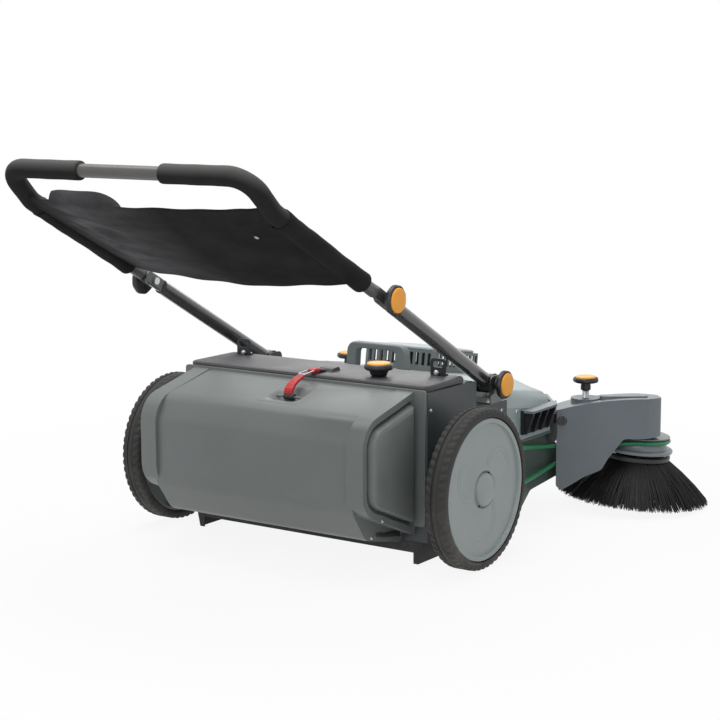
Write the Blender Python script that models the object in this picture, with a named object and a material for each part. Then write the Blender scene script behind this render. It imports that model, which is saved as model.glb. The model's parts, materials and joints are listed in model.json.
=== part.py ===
"""Manual floor sweeper: a push sweeper with a main roller brush, two side brushes and a rear hopper.

Axes: +X is the machine's right, +Y is the way it is pushed, +Z is up, and the floor is z = 0.
Every y below is counted from the wheel axle. The empty "sweeper" carries all the pieces and
shifts them so that the origin lies under the middle of the whole machine.
"""
import math
import random

import bmesh
import bpy
from mathutils import Matrix, Vector

# Clearances
GAP = 0.0003              # between faces that touch on the real machine
RUN = 0.0006              # running clearance of shafts and hubs
SWING = 0.0020            # side clearance of parts that swing past each other

# The machine's width follows from the housing's
BODY_HALF = 0.302
WALL = 0.004

# Wheels
WHEEL_R = 0.160
WHEEL_FACETS = 36         # one flat facet stands on the floor
DISC_FACETS = 32
TYRE_W = 0.045
TYRE_DEPTH = 0.017
LUG_DEPTH = 0.0035
WHEEL_FACE_X = BODY_HALF + 0.0996     # outer face of the tyre
DISC_INSET = 0.0056
DISC_T = 0.006
HUB_R = 0.024
CAP_R = 0.034
CAP_BULGE = 0.012
AXLE_R = 0.010
AXLE_Z = WHEEL_R * math.cos(math.pi / WHEEL_FACETS)
WHEEL_IN_X = WHEEL_FACE_X - TYRE_W

# Side belt drive: a grooved pulley on each wheel drives the side brush
BELT_R = 0.005
DRIVE_PULLEY_X = BODY_HALF + 0.0395
DRIVE_BELT_R = 0.070      # radius of the belt's centre line on the wheel pulley
PULLEY_LIP = 0.004        # how far a pulley's flanges stand past the belt's centre line
PULLEY_W = 0.022
GROOVE_ROOM = 0.0015      # between the belt and the bottom of its groove
GROOVE_FLARE = 0.0040     # the belt leaves its groove at an angle
BRUSH_BELT_R = 0.068      # radius of the belt's centre line on the brush pulley
POST_R = 0.010            # fixed post that both strands bend round
POST_U, POST_V = 0.027, 0.033
POST_LOW = 0.086
STRAND_LOW, STRAND_HIGH = 0.109, 0.142   # heights of the two strands at the post

# Housing over the main brush
BODY_REAR = -0.057
BODY_FRONT = 0.2515
BODY_BOTTOM = 0.050
SHOULDER_Z = 0.349
SHOULDER_FRONT = 0.127
STEP_Z = 0.290            # top of the housing in front of the deck
DECK_TOP = 0.361
DECK_HALF = BODY_HALF - 0.006
DECK_REAR = -0.0545
DECK_FRONT = 0.096
MOUTH_HALF = BODY_HALF - 0.052        # opening from the brush chamber into the hopper
MOUTH_LOW = 0.105
MOUTH_HIGH = 0.318

# Main brush and its gear drive
GEAR_MODULE = 0.004
WHEEL_TEETH = 40
BRUSH_TEETH = 14
GEAR_W = 0.009
GEAR_X = BODY_HALF + 0.0025           # inner face of both gears
BACKLASH = 0.0007
CENTRES = GEAR_MODULE * (WHEEL_TEETH + BRUSH_TEETH) / 2
BRUSH_DROP = 0.042        # how far the brush axis lies under the wheel axis
BRUSH_LIFT = 0.002        # daylight under the raised roller
BRUSH_Z = AXLE_Z - BRUSH_DROP
BRUSH_Y = math.sqrt(CENTRES ** 2 - BRUSH_DROP ** 2)
BRUSH_R = BRUSH_Z - BRUSH_LIFT
BRUSH_HALF = BODY_HALF - 0.066
CORE_R = 0.034
SHAFT_R = 0.008
ROLLER_ROWS = 6
ROLLER_TUFTS = 18         # in each row

# Hood over the front half
HOOD_REAR = 0.1285
HOOD_FRONT = 0.640
HOOD_HALF = BODY_HALF - 0.005
HOOD_NARROW = BODY_HALF - 0.044       # behind the handle pivots
HOOD_STEP_Y = 0.2540
HOOD_SKIN = 0.0035
HOOD_EDGE = 0.040         # radius of the hood's side corner
CROWN = 0.018
CROWN_FLAT = 0.118        # half width of the flat strip along the middle
FLANGE_Z = 0.190
TAPER_Y = 0.450           # where the sides start to draw in
NOSE_Y = 0.589
NOSE_HALF = 0.190
TIP_HALF = 0.150
SLOPE_Y0, SLOPE_Z0 = 0.220, 0.334
SLOPE_Y1, SLOPE_Z1 = 0.500, 0.2895

# Lower body under the hood
LOWER_HALF = BODY_HALF - 0.024
LOWER_BOTTOM = 0.090
LOWER_TAPER_Y = 0.495
LOWER_FIN = 0.032         # the side walls reach lower than the floor, most of all behind
FIN_STEP_Y0, FIN_STEP_Y1 = 0.360, 0.400
FIN_Z0, FIN_Z1 = 0.064, 0.074
FIN_FRONT, FIN_TOP = 0.518, 0.153
LOWER_NOSE_HALF = 0.168
LOWER_FRONT = 0.632
FLANGE_T = 0.005
RIM_NARROW = BODY_HALF - 0.012        # the rim draws in where the belts pass

# Vent box on the hood
VENT_Y0 = 0.300
VENT_LEN = 0.189
VENT_HALF = 0.094
VENT_H = 0.045
VENT_WALL = 0.003
SLOT_H = 0.027
SLOT_W = 0.0085
SLOT_PITCH = 0.0154
SLOTS = 11
LID_T = 0.006
LID_CROWN = 0.004

# Carry handle on the hood
CARRY_Y = 0.222
CARRY_HALF = 0.074
CARRY_TOP = 0.3875
CARRY_DEPTH = 0.022
CARRY_BAR = 0.013
CARRY_LEG = 0.020

# Brush height knob and tie-down eyes on the deck
ROLLER_KNOB_X, ROLLER_KNOB_Y = 0.150, 0.000
EYE_X = BODY_HALF - 0.055
EYE_Y = 0.068
EYE_W = 0.036
EYE_H = 0.035
EYE_T = 0.003
EYE_FOOT = 0.016

# Rubber skirt
SKIRT_T = 0.003
SKIRT_LOW = 0.0025
SKIRT_TOP = BRUSH_Z - 0.0224   # clear of the roller's bearings
SKIRT_FOOT_HALF = BODY_HALF - 0.0245
SKIRT_GAP_HALF = BODY_HALF - 0.036
LIP_REAR = 0.025          # lower edge of the rear lip
LIP_FRONT = 0.035         # way in for the dirt

# Hopper
HOPPER_FRONT = BODY_REAR - GAP
HOPPER_REAR = -0.232
HOPPER_LOW = 0.045
ROOF_TOP = 0.350          # the roof slopes back from the flange
ROOF_END = -0.205
ROOF_LOW = 0.3165
BACK_TOP = 0.270
BACK_LOW = 0.140
BELLY_END = -0.185
BELLY_LOW = 0.074
EAR_REAR = -0.240
EAR_TOP = 0.352
EAR_ROOF_END = -0.215
EAR_ROOF_LOW = 0.314
EAR_BACK_TOP = 0.280
EAR_BACK_LOW = 0.150
EAR_BELLY_END = -0.210
EAR_BELLY_LOW = 0.127
EAR_LOW = 0.064
FLANGE_HALF = BODY_HALF - 0.002
FLANGE_LOW = 0.083
FLANGE_HIGH = 0.354
HOPPER_WALL = 0.0045
EAR_IN = BODY_HALF - 0.067
EAR_OUT = BODY_HALF - 0.028
PANEL_OUT = BODY_HALF - 0.014
BIN_HALF = BODY_HALF - 0.059
EAR_BAND = 0.013
GROOVE = 0.007
GROOVE_DEPTH = 0.010
RECESS_X = 0.026          # middle of the latch and its pocket
RECESS_W = 0.086
RECESS_Y0, RECESS_Y1 = -0.160, -0.098
RECESS_DEPTH = 0.014
SCOOP = 0.028             # length of the curved rear end of the pocket

# Latch over the hopper's edge
LATCH_W = 0.024
LATCH_T = 0.006
LATCH_PIVOT_Y = -0.134
LATCH_PIVOT_Z = 0.3270
LATCH_PIN_R = 0.0025
LATCH_EYE_R = 0.0065
PAD_Y = 0.004
PAD_H = 0.008

# Handle
ARM_X = BODY_HALF - 0.018
PIVOT_Y, PIVOT_Z = 0.205, 0.330
FOLD_Y, FOLD_Z = -0.182, 0.5445
TUBE_R = 0.015
UPPER_R = 0.0125
TUBE_WALL = 0.0018
LUG_T = 0.007             # thickness of the flattened tube ends
BEND_Y, BEND_Z = -0.520, 0.7285
BAR_Y, BAR_Z = -0.585, 0.7930
GRIP_R = 0.018
GRIP_IN_X = 0.094
GRIP_END_Y = -0.490
KNOB_R = 0.030
KNOB_H = 0.024
KNOB_CAP_T = 0.004
BOLT_R = 0.004
FORK_PLATE = 0.0025
SLEEVE_R = 0.0172
CLOTH_Y0, CLOTH_Y1 = -0.487, -0.257
CLOTH_SAG_TOP, CLOTH_SAG_LOW = 0.007, 0.018
CLOTH_T = 0.0022

# Side brush arms: u runs out along the arm, v runs across it, from the cover's rear inner corner
ARM_ORIGIN = Vector((HOOD_HALF, 0.480, 0.0))
ARM_TURN = math.radians(34.0)
HINGE_U = 0.0120
HINGE_Z = 0.2060
HINGE_HOLE_R = 0.0110
HINGE_PIN_R = 0.0060
COVER_LEN = 0.235
COVER_DEPTH = 0.147
COVER_LOW = 0.165
COVER_TOP_IN = 0.230
COVER_TOP_OUT = 0.254
COVER_WALL = 0.0035
COVER_ARCH = 2.2           # how quickly the top rises from the hinge
COVER_ARCH_LEN = 0.200
COVER_FALL = 0.013        # how much lower the top is at the front edge
BRACKET_T = 0.007
BRACKET_OUT = 0.028       # reach of the bracket's shelf from the hood's side
BRACKET_REAR = 0.318
BRACKET_LOW, BRACKET_TOP = 0.203, 0.255
GUSSET_PITCH = 0.032
LUG_LOW = 0.160
ADJUST_U, ADJUST_V = 0.0700, 0.0626
BOSS_R = 0.033            # round seat under the height knob
BOSS_TOP = 0.2475
STUD_R = 0.0080
ADJUST_TOP = 0.2975
ADJUST_R = 0.0285

# Side brushes
SPINDLE_R = 0.007
SIDE_X, SIDE_Y = BODY_HALF + 0.093, 0.660   # middle of the bristle tips
SIDE_R = 0.170
SIDE_TILT = math.radians(5.0)
SIDE_LOW = math.radians(35.0)   # direction of the side that touches the floor
SIDE_LIFT = 0.0010
PLATE_R = 0.075
PLATE_Z = 0.094           # height of the bristle plate along the brush's own axis
PLATE_T = 0.013
PULLEY_R = 0.079          # skirt of the pulley, below the belt
SKIRT_Z = 0.106
SIDE_PULLEY_Z = 0.1340    # height of the belt groove
SIDE_STRANDS = 96

# Front caster
CASTER_Y = 0.545
CASTER_TRAIL = 0.026
CASTER_R = 0.040
CASTER_FACETS = 16
CASTER_W = 0.024
FORK_T = 0.003
CASTER_Z = CASTER_R * math.cos(math.pi / CASTER_FACETS)

REAR_REACH = -BAR_Y + GRIP_R
FRONT_REACH = SIDE_Y + SIDE_R
AXLE_Y = (REAR_REACH - FRONT_REACH) / 2

COLOURS = {
    "dark_plastic": ((0.060, 0.062, 0.064), 0.55, 0.0),
    "deck_plastic": ((0.110, 0.105, 0.105), 0.50, 0.0),
    "grey_plastic": ((0.145, 0.160, 0.158), 0.50, 0.0),
    "hood_plastic": ((0.190, 0.225, 0.225), 0.48, 0.0),
    "arm_plastic": ((0.130, 0.145, 0.155), 0.45, 0.0),
    "black_plastic": ((0.018, 0.018, 0.020), 0.45, 0.0),
    "wheel_plastic": ((0.300, 0.340, 0.330), 0.50, 0.0),
    "red_rubber": ((0.480, 0.020, 0.015), 0.50, 0.0),
    "green_belt": ((0.020, 0.230, 0.090), 0.45, 0.0),
    "tyre_rubber": ((0.035, 0.035, 0.036), 0.85, 0.0),
    "flap_rubber": ((0.022, 0.022, 0.023), 0.75, 0.0),
    "grip_foam": ((0.024, 0.024, 0.026), 0.95, 0.0),
    "black_cloth": ((0.020, 0.020, 0.022), 0.95, 0.0),
    "bristles": ((0.012, 0.012, 0.014), 0.80, 0.0),
    "frame_paint": ((0.160, 0.165, 0.170), 0.40, 0.3),
    "bright_steel": ((0.620, 0.630, 0.640), 0.30, 1.0),
    "gear_nylon": ((0.420, 0.420, 0.400), 0.50, 0.0),
}

random.seed(7)


def clear_scene():
    for old in list(bpy.data.objects):
        bpy.data.objects.remove(old, do_unlink=True)


def material(name):
    found = bpy.data.materials.get(name)
    if found:
        return found
    rgb, rough, metal = COLOURS[name]
    made = bpy.data.materials.new(name)
    made.use_nodes = True
    shader = made.node_tree.nodes["Principled BSDF"]
    shader.inputs["Base Color"].default_value = (*rgb, 1.0)
    shader.inputs["Roughness"].default_value = rough
    shader.inputs["Metallic"].default_value = metal
    made.diffuse_color = (*rgb, 1.0)
    return made


def finish(name, bm, colour, origin=(0, 0, 0), parent=None, smooth=35.0):
    """Turn a bmesh in machine coordinates into a named object whose origin is at origin."""
    bmesh.ops.remove_doubles(bm, verts=bm.verts, dist=1e-6)
    bmesh.ops.recalc_face_normals(bm, faces=bm.faces)
    bmesh.ops.translate(bm, verts=bm.verts, vec=-Vector(origin))
    mesh = bpy.data.meshes.new(name)
    bm.to_mesh(mesh)
    bm.free()
    mesh.shade_smooth()
    mesh.set_sharp_from_angle(angle=math.radians(smooth))
    made = bpy.data.objects.new(name, mesh)
    made.location = origin
    bpy.context.scene.collection.objects.link(made)
    made.parent = parent or sweeper
    if colour:
        mesh.materials.append(material(colour))
    return made


def boolean(target, tool_bm, name, operation="DIFFERENCE"):
    """Cut or join a hidden tool, given as a bmesh in machine coordinates."""
    tool = finish(name, tool_bm, None)
    tool.hide_render = True
    tool.display_type = "WIRE"
    mod = target.modifiers.new(name, "BOOLEAN")
    mod.operation = operation
    mod.object = tool
    mod.solver = "EXACT"
    return tool


def round_outline(points, steps=4):
    """Fillet a closed outline. Each point is (a, b) or (a, b, radius)."""
    out = []
    count = len(points)
    for i, point in enumerate(points):
        here = Vector(point[:2])
        radius = point[2] if len(point) > 2 else 0.0
        if radius <= 0:
            out.append(here)
            continue
        before = (Vector(points[i - 1][:2]) - here).normalized()
        after = (Vector(points[(i + 1) % count][:2]) - here).normalized()
        half = before.angle(after) / 2
        back = radius / math.tan(half)
        middle = here + (before + after).normalized() * radius / math.sin(half)
        start = here + before * back - middle
        end = here + after * back - middle
        turn = start.angle(end)
        sign = 1.0 if start.x * end.y - start.y * end.x > 0 else -1.0
        for k in range(steps + 1):
            a = sign * turn * k / steps
            c, s = math.cos(a), math.sin(a)
            out.append(middle + Vector((start.x * c - start.y * s, start.x * s + start.y * c)))
    return out


def prism(outline, axis, low, high, bm=None):
    """Extrude a closed outline along x (outline in y, z), y (x, z) or z (x, y)."""
    bm = bm or bmesh.new()
    place = {"x": lambda p, t: (t, p[0], p[1]),
             "y": lambda p, t: (p[0], t, p[1]),
             "z": lambda p, t: (p[0], p[1], t)}[axis]
    ring = [bm.verts.new(place(p, low)) for p in outline]
    base = bm.faces.new(ring)
    top = bmesh.ops.extrude_face_region(bm, geom=[base])
    verts = [g for g in top["geom"] if isinstance(g, bmesh.types.BMVert)]
    step = Vector(place((0, 0), high)) - Vector(place((0, 0), low))
    bmesh.ops.translate(bm, verts=verts, vec=step)
    return bm


def stacked(layers):
    """A closed solid through outlines with the same number of points, each given with its height."""
    bm = bmesh.new()
    rings = [[bm.verts.new((*p, z)) for p in outline] for outline, z in layers]
    for a, b in zip(rings, rings[1:]):
        for k in range(len(a)):
            n = (k + 1) % len(a)
            bm.faces.new((a[k], a[n], b[n], b[k]))
    bm.faces.new(rings[0])
    bm.faces.new(rings[-1])
    return bm


def block(low, high, bm=None):
    """An axis-aligned box between two corners."""
    bm = bm or bmesh.new()
    size = Vector(high) - Vector(low)
    middle = (Vector(high) + Vector(low)) / 2
    place = Matrix.Translation(middle) @ Matrix.Diagonal((*size, 1.0))
    bmesh.ops.create_cube(bm, size=1.0, matrix=place)
    return bm


def lathe(profile, facets, place=Matrix(), bm=None, turn=0.0):
    """Turn a closed profile of (radius, height) points about the local z axis, then place it."""
    bm = bm or bmesh.new()
    count = len(profile)
    middles = [bm.verts.new(place @ Vector((0, 0, h))) if r < 1e-7 else None for r, h in profile]
    columns = []
    for k in range(facets):
        a = turn + 2 * math.pi * k / facets
        column = []
        for (r, h), middle in zip(profile, middles):
            column.append(middle or bm.verts.new(place @ Vector((r * math.cos(a), r * math.sin(a), h))))
        columns.append(column)
    for k in range(facets):
        here, there = columns[k], columns[(k + 1) % facets]
        for i in range(count):
            n = (i + 1) % count
            if middles[i] and middles[n]:
                continue
            corners = [here[i], here[n], there[n], there[i]]
            if middles[i]:
                corners = [here[i], here[n], there[n]]
            elif middles[n]:
                corners = [here[i], here[n], there[i]]
            bm.faces.new(corners)
    return bm


def disc(radius, low, high, facets=24, place=Matrix(), bm=None, turn=0.0):
    """A plain round bar from low to high along the local z axis."""
    return lathe([(0.0, low), (radius, low), (radius, high), (0.0, high)], facets, place, bm, turn)


def ring(inner, outer, low, high, facets=24, place=Matrix(), bm=None, turn=0.0):
    """A round collar with a bore."""
    return lathe([(inner, low), (outer, low), (outer, high), (inner, high)], facets, place, bm, turn)


def along_x(x=0.0, y=0.0, z=0.0):
    """Places a local z axis along the machine's x, at (x, y, z)."""
    return Matrix.Translation((x, y, z)) @ Matrix.Rotation(math.pi / 2, 4, "Y")


def fillet_path(points, radius, steps=5):
    """Round the inner corners of a polyline in space."""
    pts = [Vector(p) for p in points]
    out = [pts[0]]
    for i in range(1, len(pts) - 1):
        before = (pts[i - 1] - pts[i]).normalized()
        after = (pts[i + 1] - pts[i]).normalized()
        half = before.angle(after) / 2
        back = radius / math.tan(half)
        start, end = pts[i] + before * back, pts[i] + after * back
        middle = pts[i] + (before + after).normalized() * radius / math.sin(half)
        for k in range(steps + 1):
            a, b = start - middle, end - middle
            angle = a.angle(b)
            w0 = math.sin(angle * (1 - k / steps)) / math.sin(angle)
            w1 = math.sin(angle * k / steps) / math.sin(angle)
            out.append(middle + a * w0 + b * w1)
    out.append(pts[-1])
    return out


def pipe(path, outer, inner=0.0, sides=12, bm=None, closed=False):
    """Sweep a round section along a path; inner > 0 leaves a bore."""
    bm = bm or bmesh.new()
    pts = [Vector(p) for p in path]
    count = len(pts)
    rings = []
    up = None
    for i in range(count):
        if closed:
            tangent = pts[(i + 1) % count] - pts[i - 1]
        else:
            tangent = pts[min(i + 1, count - 1)] - pts[max(i - 1, 0)]
        tangent.normalize()
        if up is None:
            up = tangent.orthogonal().normalized()
        up = (up - tangent * up.dot(tangent)).normalized()
        side = tangent.cross(up)
        stretch = 1.0
        if 0 < i < count - 1 or closed:
            bend = (pts[i] - pts[i - 1]).angle(pts[(i + 1) % count] - pts[i])
            stretch = 1.0 / math.cos(bend / 2)
        pair = []
        for radius in ([outer, inner] if inner > 0 else [outer]):
            loop = []
            for k in range(sides):
                a = 2 * math.pi * k / sides
                r = radius * (stretch if stretch < 1.2 else 1.2)
                loop.append(bm.verts.new(pts[i] + (up * math.cos(a) + side * math.sin(a)) * r))
            pair.append(loop)
        rings.append(pair)
    spans = range(count) if closed else range(count - 1)
    for i in spans:
        for layer in range(len(rings[0])):
            a, b = rings[i][layer], rings[(i + 1) % count][layer]
            for k in range(sides):
                n = (k + 1) % sides
                bm.faces.new((a[k], a[n], b[n], b[k]))
    if not closed:
        for end in (rings[0], rings[-1]):
            if inner > 0:
                for k in range(sides):
                    n = (k + 1) % sides
                    bm.faces.new((end[0][k], end[0][n], end[1][n], end[1][k]))
            else:
                bm.faces.new(end[0])
    return bm


def mirrored(bm, side):
    """Leave a right-hand piece as it is, or mirror it to the left."""
    if side < 0:
        bmesh.ops.scale(bm, vec=(-1, 1, 1), verts=bm.verts)
        bmesh.ops.reverse_faces(bm, faces=bm.faces)
    return bm


def side_name(side):
    return "right" if side > 0 else "left"


def gear_outline(teeth, phase=0.0):
    """Straight-flanked tooth outline: root, tip, tip, root for each tooth."""
    pitch_r = GEAR_MODULE * teeth / 2
    root_r = pitch_r - 1.25 * GEAR_MODULE
    tip_r = pitch_r + 0.95 * GEAR_MODULE
    half = (math.pi * GEAR_MODULE / 2 - BACKLASH) / 2 / pitch_r
    lean = math.tan(math.radians(20.0))
    root_half = half + 1.10 * GEAR_MODULE * lean / pitch_r
    tip_half = half - 1.00 * GEAR_MODULE * lean / pitch_r
    points = []
    for i in range(teeth):
        middle = phase + 2 * math.pi * i / teeth
        for radius, offset in ((root_r, -root_half), (tip_r, -tip_half),
                               (tip_r, tip_half), (root_r, root_half)):
            a = middle + offset
            points.append(Vector((radius * math.cos(a), radius * math.sin(a))))
    return points


def build_wheel(side):
    """Tyre, disc with its hub cap, and belt pulley; the left wheel also carries the drive gear."""
    tag = side_name(side)
    origin = (0, 0, AXLE_Z)
    outer_x, inner_x = WHEEL_FACE_X, WHEEL_IN_X
    rim_r = WHEEL_R - TYRE_DEPTH
    turn = math.pi / WHEEL_FACETS
    place = along_x(0, 0, AXLE_Z)
    middle = (outer_x + inner_x) / 2
    shoulder = 0.007
    profile = [(rim_r, inner_x), (WHEEL_R - LUG_DEPTH, inner_x), (WHEEL_R, inner_x + shoulder),
               (WHEEL_R, middle), (WHEEL_R, outer_x - shoulder),
               (WHEEL_R - LUG_DEPTH, outer_x), (rim_r, outer_x)]
    bm = lathe(profile, WHEEL_FACETS, place, turn=turn)
    cut_lugs(bm, inner_x, outer_x)
    finish("tyre_" + tag, mirrored(bm, side), "tyre_rubber", origin)

    face = outer_x - DISC_INSET
    disc_r = rim_r * math.cos(math.pi / WHEEL_FACETS) - GAP
    profile = [(AXLE_R + RUN, WHEEL_IN_X - 0.002), (HUB_R, WHEEL_IN_X - 0.002),
               (HUB_R + 0.004, face - DISC_T), (rim_r - 0.009, face - DISC_T - 0.002),
               (rim_r - 0.007, inner_x + 0.004), (disc_r, inner_x + 0.004),
               (disc_r, outer_x - 0.0015), (rim_r - 0.006, outer_x - 0.0015),
               (rim_r - 0.012, face), (CAP_R, face), (CAP_R * 0.75, face + CAP_BULGE * 0.85),
               (0.0, face + CAP_BULGE), (0.0, face + 0.001),
               (AXLE_R + RUN, face + 0.001)]
    bm = lathe(profile, DISC_FACETS, place, turn=turn)
    finish("wheel_disc_" + tag, mirrored(bm, side), "wheel_plastic", origin)

    low = DRIVE_PULLEY_X - PULLEY_W / 2
    high = WHEEL_IN_X - 0.002 - GAP
    bottom = DRIVE_BELT_R - BELT_R - GROOVE_ROOM
    lip = DRIVE_BELT_R + PULLEY_LIP
    half = BELT_R + GAP * 2
    profile = [(AXLE_R + RUN, low), (lip, low), (lip, DRIVE_PULLEY_X - half - GROOVE_FLARE),
               (bottom, DRIVE_PULLEY_X - half), (bottom, DRIVE_PULLEY_X + half),
               (lip, DRIVE_PULLEY_X + half + GROOVE_FLARE), (lip, low + PULLEY_W), (HUB_R, low + PULLEY_W),
               (HUB_R, high), (AXLE_R + RUN, high)]
    bm = lathe(profile, 20, place)
    finish("drive_pulley_" + tag, mirrored(bm, side), "black_plastic", origin)

    if side < 0:
        bm = prism([(p.x, AXLE_Z + p.y) for p in gear_outline(WHEEL_TEETH)], "x",
                   GEAR_X, GEAR_X + GEAR_W)
        made = finish("wheel_gear", mirrored(bm, side), "gear_nylon", origin)
        hole = disc(AXLE_R + RUN, GEAR_X - WALL, GEAR_X + GEAR_W + WALL, 24, place)
        boolean(made, mirrored(hole, side), "wheel_gear_bore")


def cut_lugs(bm, inner_x, outer_x):
    """Zigzag tread: every other station of the crown and shoulders is drawn in to the groove."""
    middle = (inner_x + outer_x) / 2
    step = 2 * math.pi / WHEEL_FACETS
    for v in bm.verts:
        radius = math.hypot(v.co.y, v.co.z - AXLE_Z)
        if radius < WHEEL_R - LUG_DEPTH * 0.5:
            continue
        station = round((math.atan2(v.co.z - AXLE_Z, v.co.y) - step / 2) / step)
        if abs(v.co.x - middle) < 0.001:
            v.co.x += (0.006 if station % 2 else -0.006)
    return bm


def build_axle(side):
    """Stub axle: a flange inside the housing wall and a shaft out to the wheel."""
    inner = BODY_HALF - WALL - GAP
    end = WHEEL_FACE_X - DISC_INSET
    profile = [(0.0, inner - 0.008), (0.030, inner - 0.008), (0.030, inner), (AXLE_R, inner),
               (AXLE_R, end), (0.0, end)]
    bm = lathe(profile, 16, along_x(0, 0, AXLE_Z))
    finish("stub_axle_" + side_name(side), mirrored(bm, side), "bright_steel", (0, 0, AXLE_Z))


def build_housing():
    """Shell over the main brush: open below, with a mouth into the hopper behind."""
    outline = round_outline([
        (BODY_REAR, BODY_BOTTOM), (BODY_REAR, SHOULDER_Z, 0.004), (SHOULDER_FRONT, SHOULDER_Z - 0.002, 0.006),
        (SHOULDER_FRONT, STEP_Z), (BODY_FRONT, STEP_Z, 0.004), (BODY_FRONT, BODY_BOTTOM)], 2)
    made = finish("main_housing", prism(outline, "x", -BODY_HALF, BODY_HALF), "dark_plastic")
    inside = [
        (BODY_REAR + WALL, BODY_BOTTOM - 0.02), (BODY_REAR + WALL, SHOULDER_Z - WALL, 0.01),
        (SHOULDER_FRONT - WALL, SHOULDER_Z - WALL - 0.002, 0.01),
        (SHOULDER_FRONT - WALL, STEP_Z - WALL), (BODY_FRONT - WALL, STEP_Z - WALL, 0.01),
        (BODY_FRONT - WALL, BODY_BOTTOM - 0.02)]
    cavity = BODY_HALF - WALL
    boolean(made, prism(round_outline(inside, 2), "x", -cavity, cavity), "housing_cavity")
    mouth = block((-MOUTH_HALF, BODY_REAR - 0.01, MOUTH_LOW),
                  (MOUTH_HALF, BODY_REAR + WALL + 0.002, MOUTH_HIGH))
    boolean(made, mouth, "housing_mouth")
    bores = bmesh.new()
    for side in (1, -1):
        low, high = sorted((side * (cavity - 0.01), side * (BODY_HALF + 0.01)))
        disc(AXLE_R + GAP, low, high, 20, along_x(0, 0, AXLE_Z), bores)
        disc(SHAFT_R + RUN, low, high, 20, along_x(0, BRUSH_Y, BRUSH_Z), bores)
    disc(BOLT_R + GAP, SHOULDER_Z - 0.012, SHOULDER_Z + 0.01, 16,
         Matrix.Translation((ROLLER_KNOB_X, ROLLER_KNOB_Y, 0)), bores)
    boolean(made, bores, "housing_bores")


def build_deck():
    """Raised deck panel with a chamfered rim, and what stands on it."""
    low = SHOULDER_Z + GAP
    bm = block((-DECK_HALF, DECK_REAR, low), (DECK_HALF, DECK_FRONT, DECK_TOP))
    corners = [e for e in bm.edges if abs(e.verts[0].co.z - e.verts[1].co.z) > 0.005]
    bmesh.ops.bevel(bm, geom=corners, offset=0.014, segments=3, affect="EDGES", profile=0.5)
    rim = [e for e in bm.edges if min(v.co.z for v in e.verts) > DECK_TOP - 1e-5]
    bmesh.ops.bevel(bm, geom=rim, offset=0.0045, segments=2, affect="EDGES", profile=0.5)
    made = finish("deck_panel", bm, "deck_plastic")
    half = 0.017
    outline = round_outline([(PAD_Y - 0.016, DECK_TOP - 0.002), (PAD_Y + 0.016, DECK_TOP - 0.002),
                             (PAD_Y + 0.010, DECK_TOP + PAD_H, 0.003),
                             (PAD_Y - 0.012, DECK_TOP + PAD_H - 0.002, 0.003)], 2)
    boolean(made, prism(outline, "x", RECESS_X - half, RECESS_X + half), "latch_pad", "UNION")
    bore = disc(BOLT_R + GAP, low - 0.01, DECK_TOP + 0.01, 16,
                Matrix.Translation((ROLLER_KNOB_X, ROLLER_KNOB_Y, 0)))
    boolean(made, bore, "deck_bore")

    for side in (1, -1):
        tag = side_name(side)
        half = EYE_W / 2
        x = EYE_X
        base = DECK_TOP + GAP
        plate = round_outline([(x - half, base), (x + half, base), (x + half, base + EYE_H, 0.008),
                               (x - half, base + EYE_H, 0.008)], 3)
        made = finish("tie_down_eye_" + tag, mirrored(prism(plate, "y", EYE_Y, EYE_Y + EYE_T), side),
                      "black_plastic")
        foot = block((x - half + 0.003, EYE_Y + 0.001, base),
                     (x + half - 0.003, EYE_Y + EYE_FOOT, base + EYE_T))
        slot = round_outline([(x - 0.012, DECK_TOP + 0.017, 0.004), (x + 0.012, DECK_TOP + 0.017, 0.004),
                              (x + 0.012, DECK_TOP + 0.029, 0.004), (x - 0.012, DECK_TOP + 0.029, 0.004)], 2)
        boolean(made, mirrored(foot, side), "eye_foot_" + tag, "UNION")
        boolean(made, mirrored(prism(slot, "y", EYE_Y - 0.01, EYE_Y + 0.01), side), "eye_slot_" + tag)


def star_knob(radius, height, stud, place, bm=None):
    """A round hand knob with a waist, a rim, an orange cap disc and a stud moulded into its foot.

    stud is a list of (radius, depth) steps below the knob's foot, from the outside in.
    """
    profile = [(radius * 0.40, 0.0), (radius * 0.36, height * 0.40), (radius * 0.90, height * 0.52),
               (radius, height * 0.64), (radius, height * 0.88), (radius * 0.93, height),
               (radius * 0.82, height), (radius * 0.72, height + KNOB_CAP_T), (0.0, height + KNOB_CAP_T)]
    below = [(r, -depth) for r, depth in stud]
    return lathe([(0.0, below[-1][1])] + below[::-1] + profile, 12, place, bm)


def build_roller_knob():
    """Knob on the deck that sets the height of the roller brush."""
    place = Matrix.Translation((ROLLER_KNOB_X, ROLLER_KNOB_Y, DECK_TOP + GAP))
    reach = DECK_TOP - SHOULDER_Z + WALL + 0.012
    bm = star_knob(KNOB_R, KNOB_H, [(BOLT_R, 0.0), (BOLT_R, reach)], place)
    finish("roller_knob", bm, "black_plastic", (ROLLER_KNOB_X, ROLLER_KNOB_Y, DECK_TOP))


def strand(bm, face, tips, spread=0.30):
    """Fuse one three-sided bristle strand to a triangle of the backing."""
    bmesh.ops.inset_individual(bm, faces=[face], thickness=0.0)
    middle = face.calc_center_median()
    for v in face.verts:
        v.co = middle + (v.co - middle) * spread
    made = bmesh.ops.extrude_discrete_faces(bm, faces=[face])
    top = made["faces"][0]
    centre = top.calc_center_median()
    for v in top.verts:
        v.co = tips + (v.co - centre) * 0.75
    return top


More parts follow.
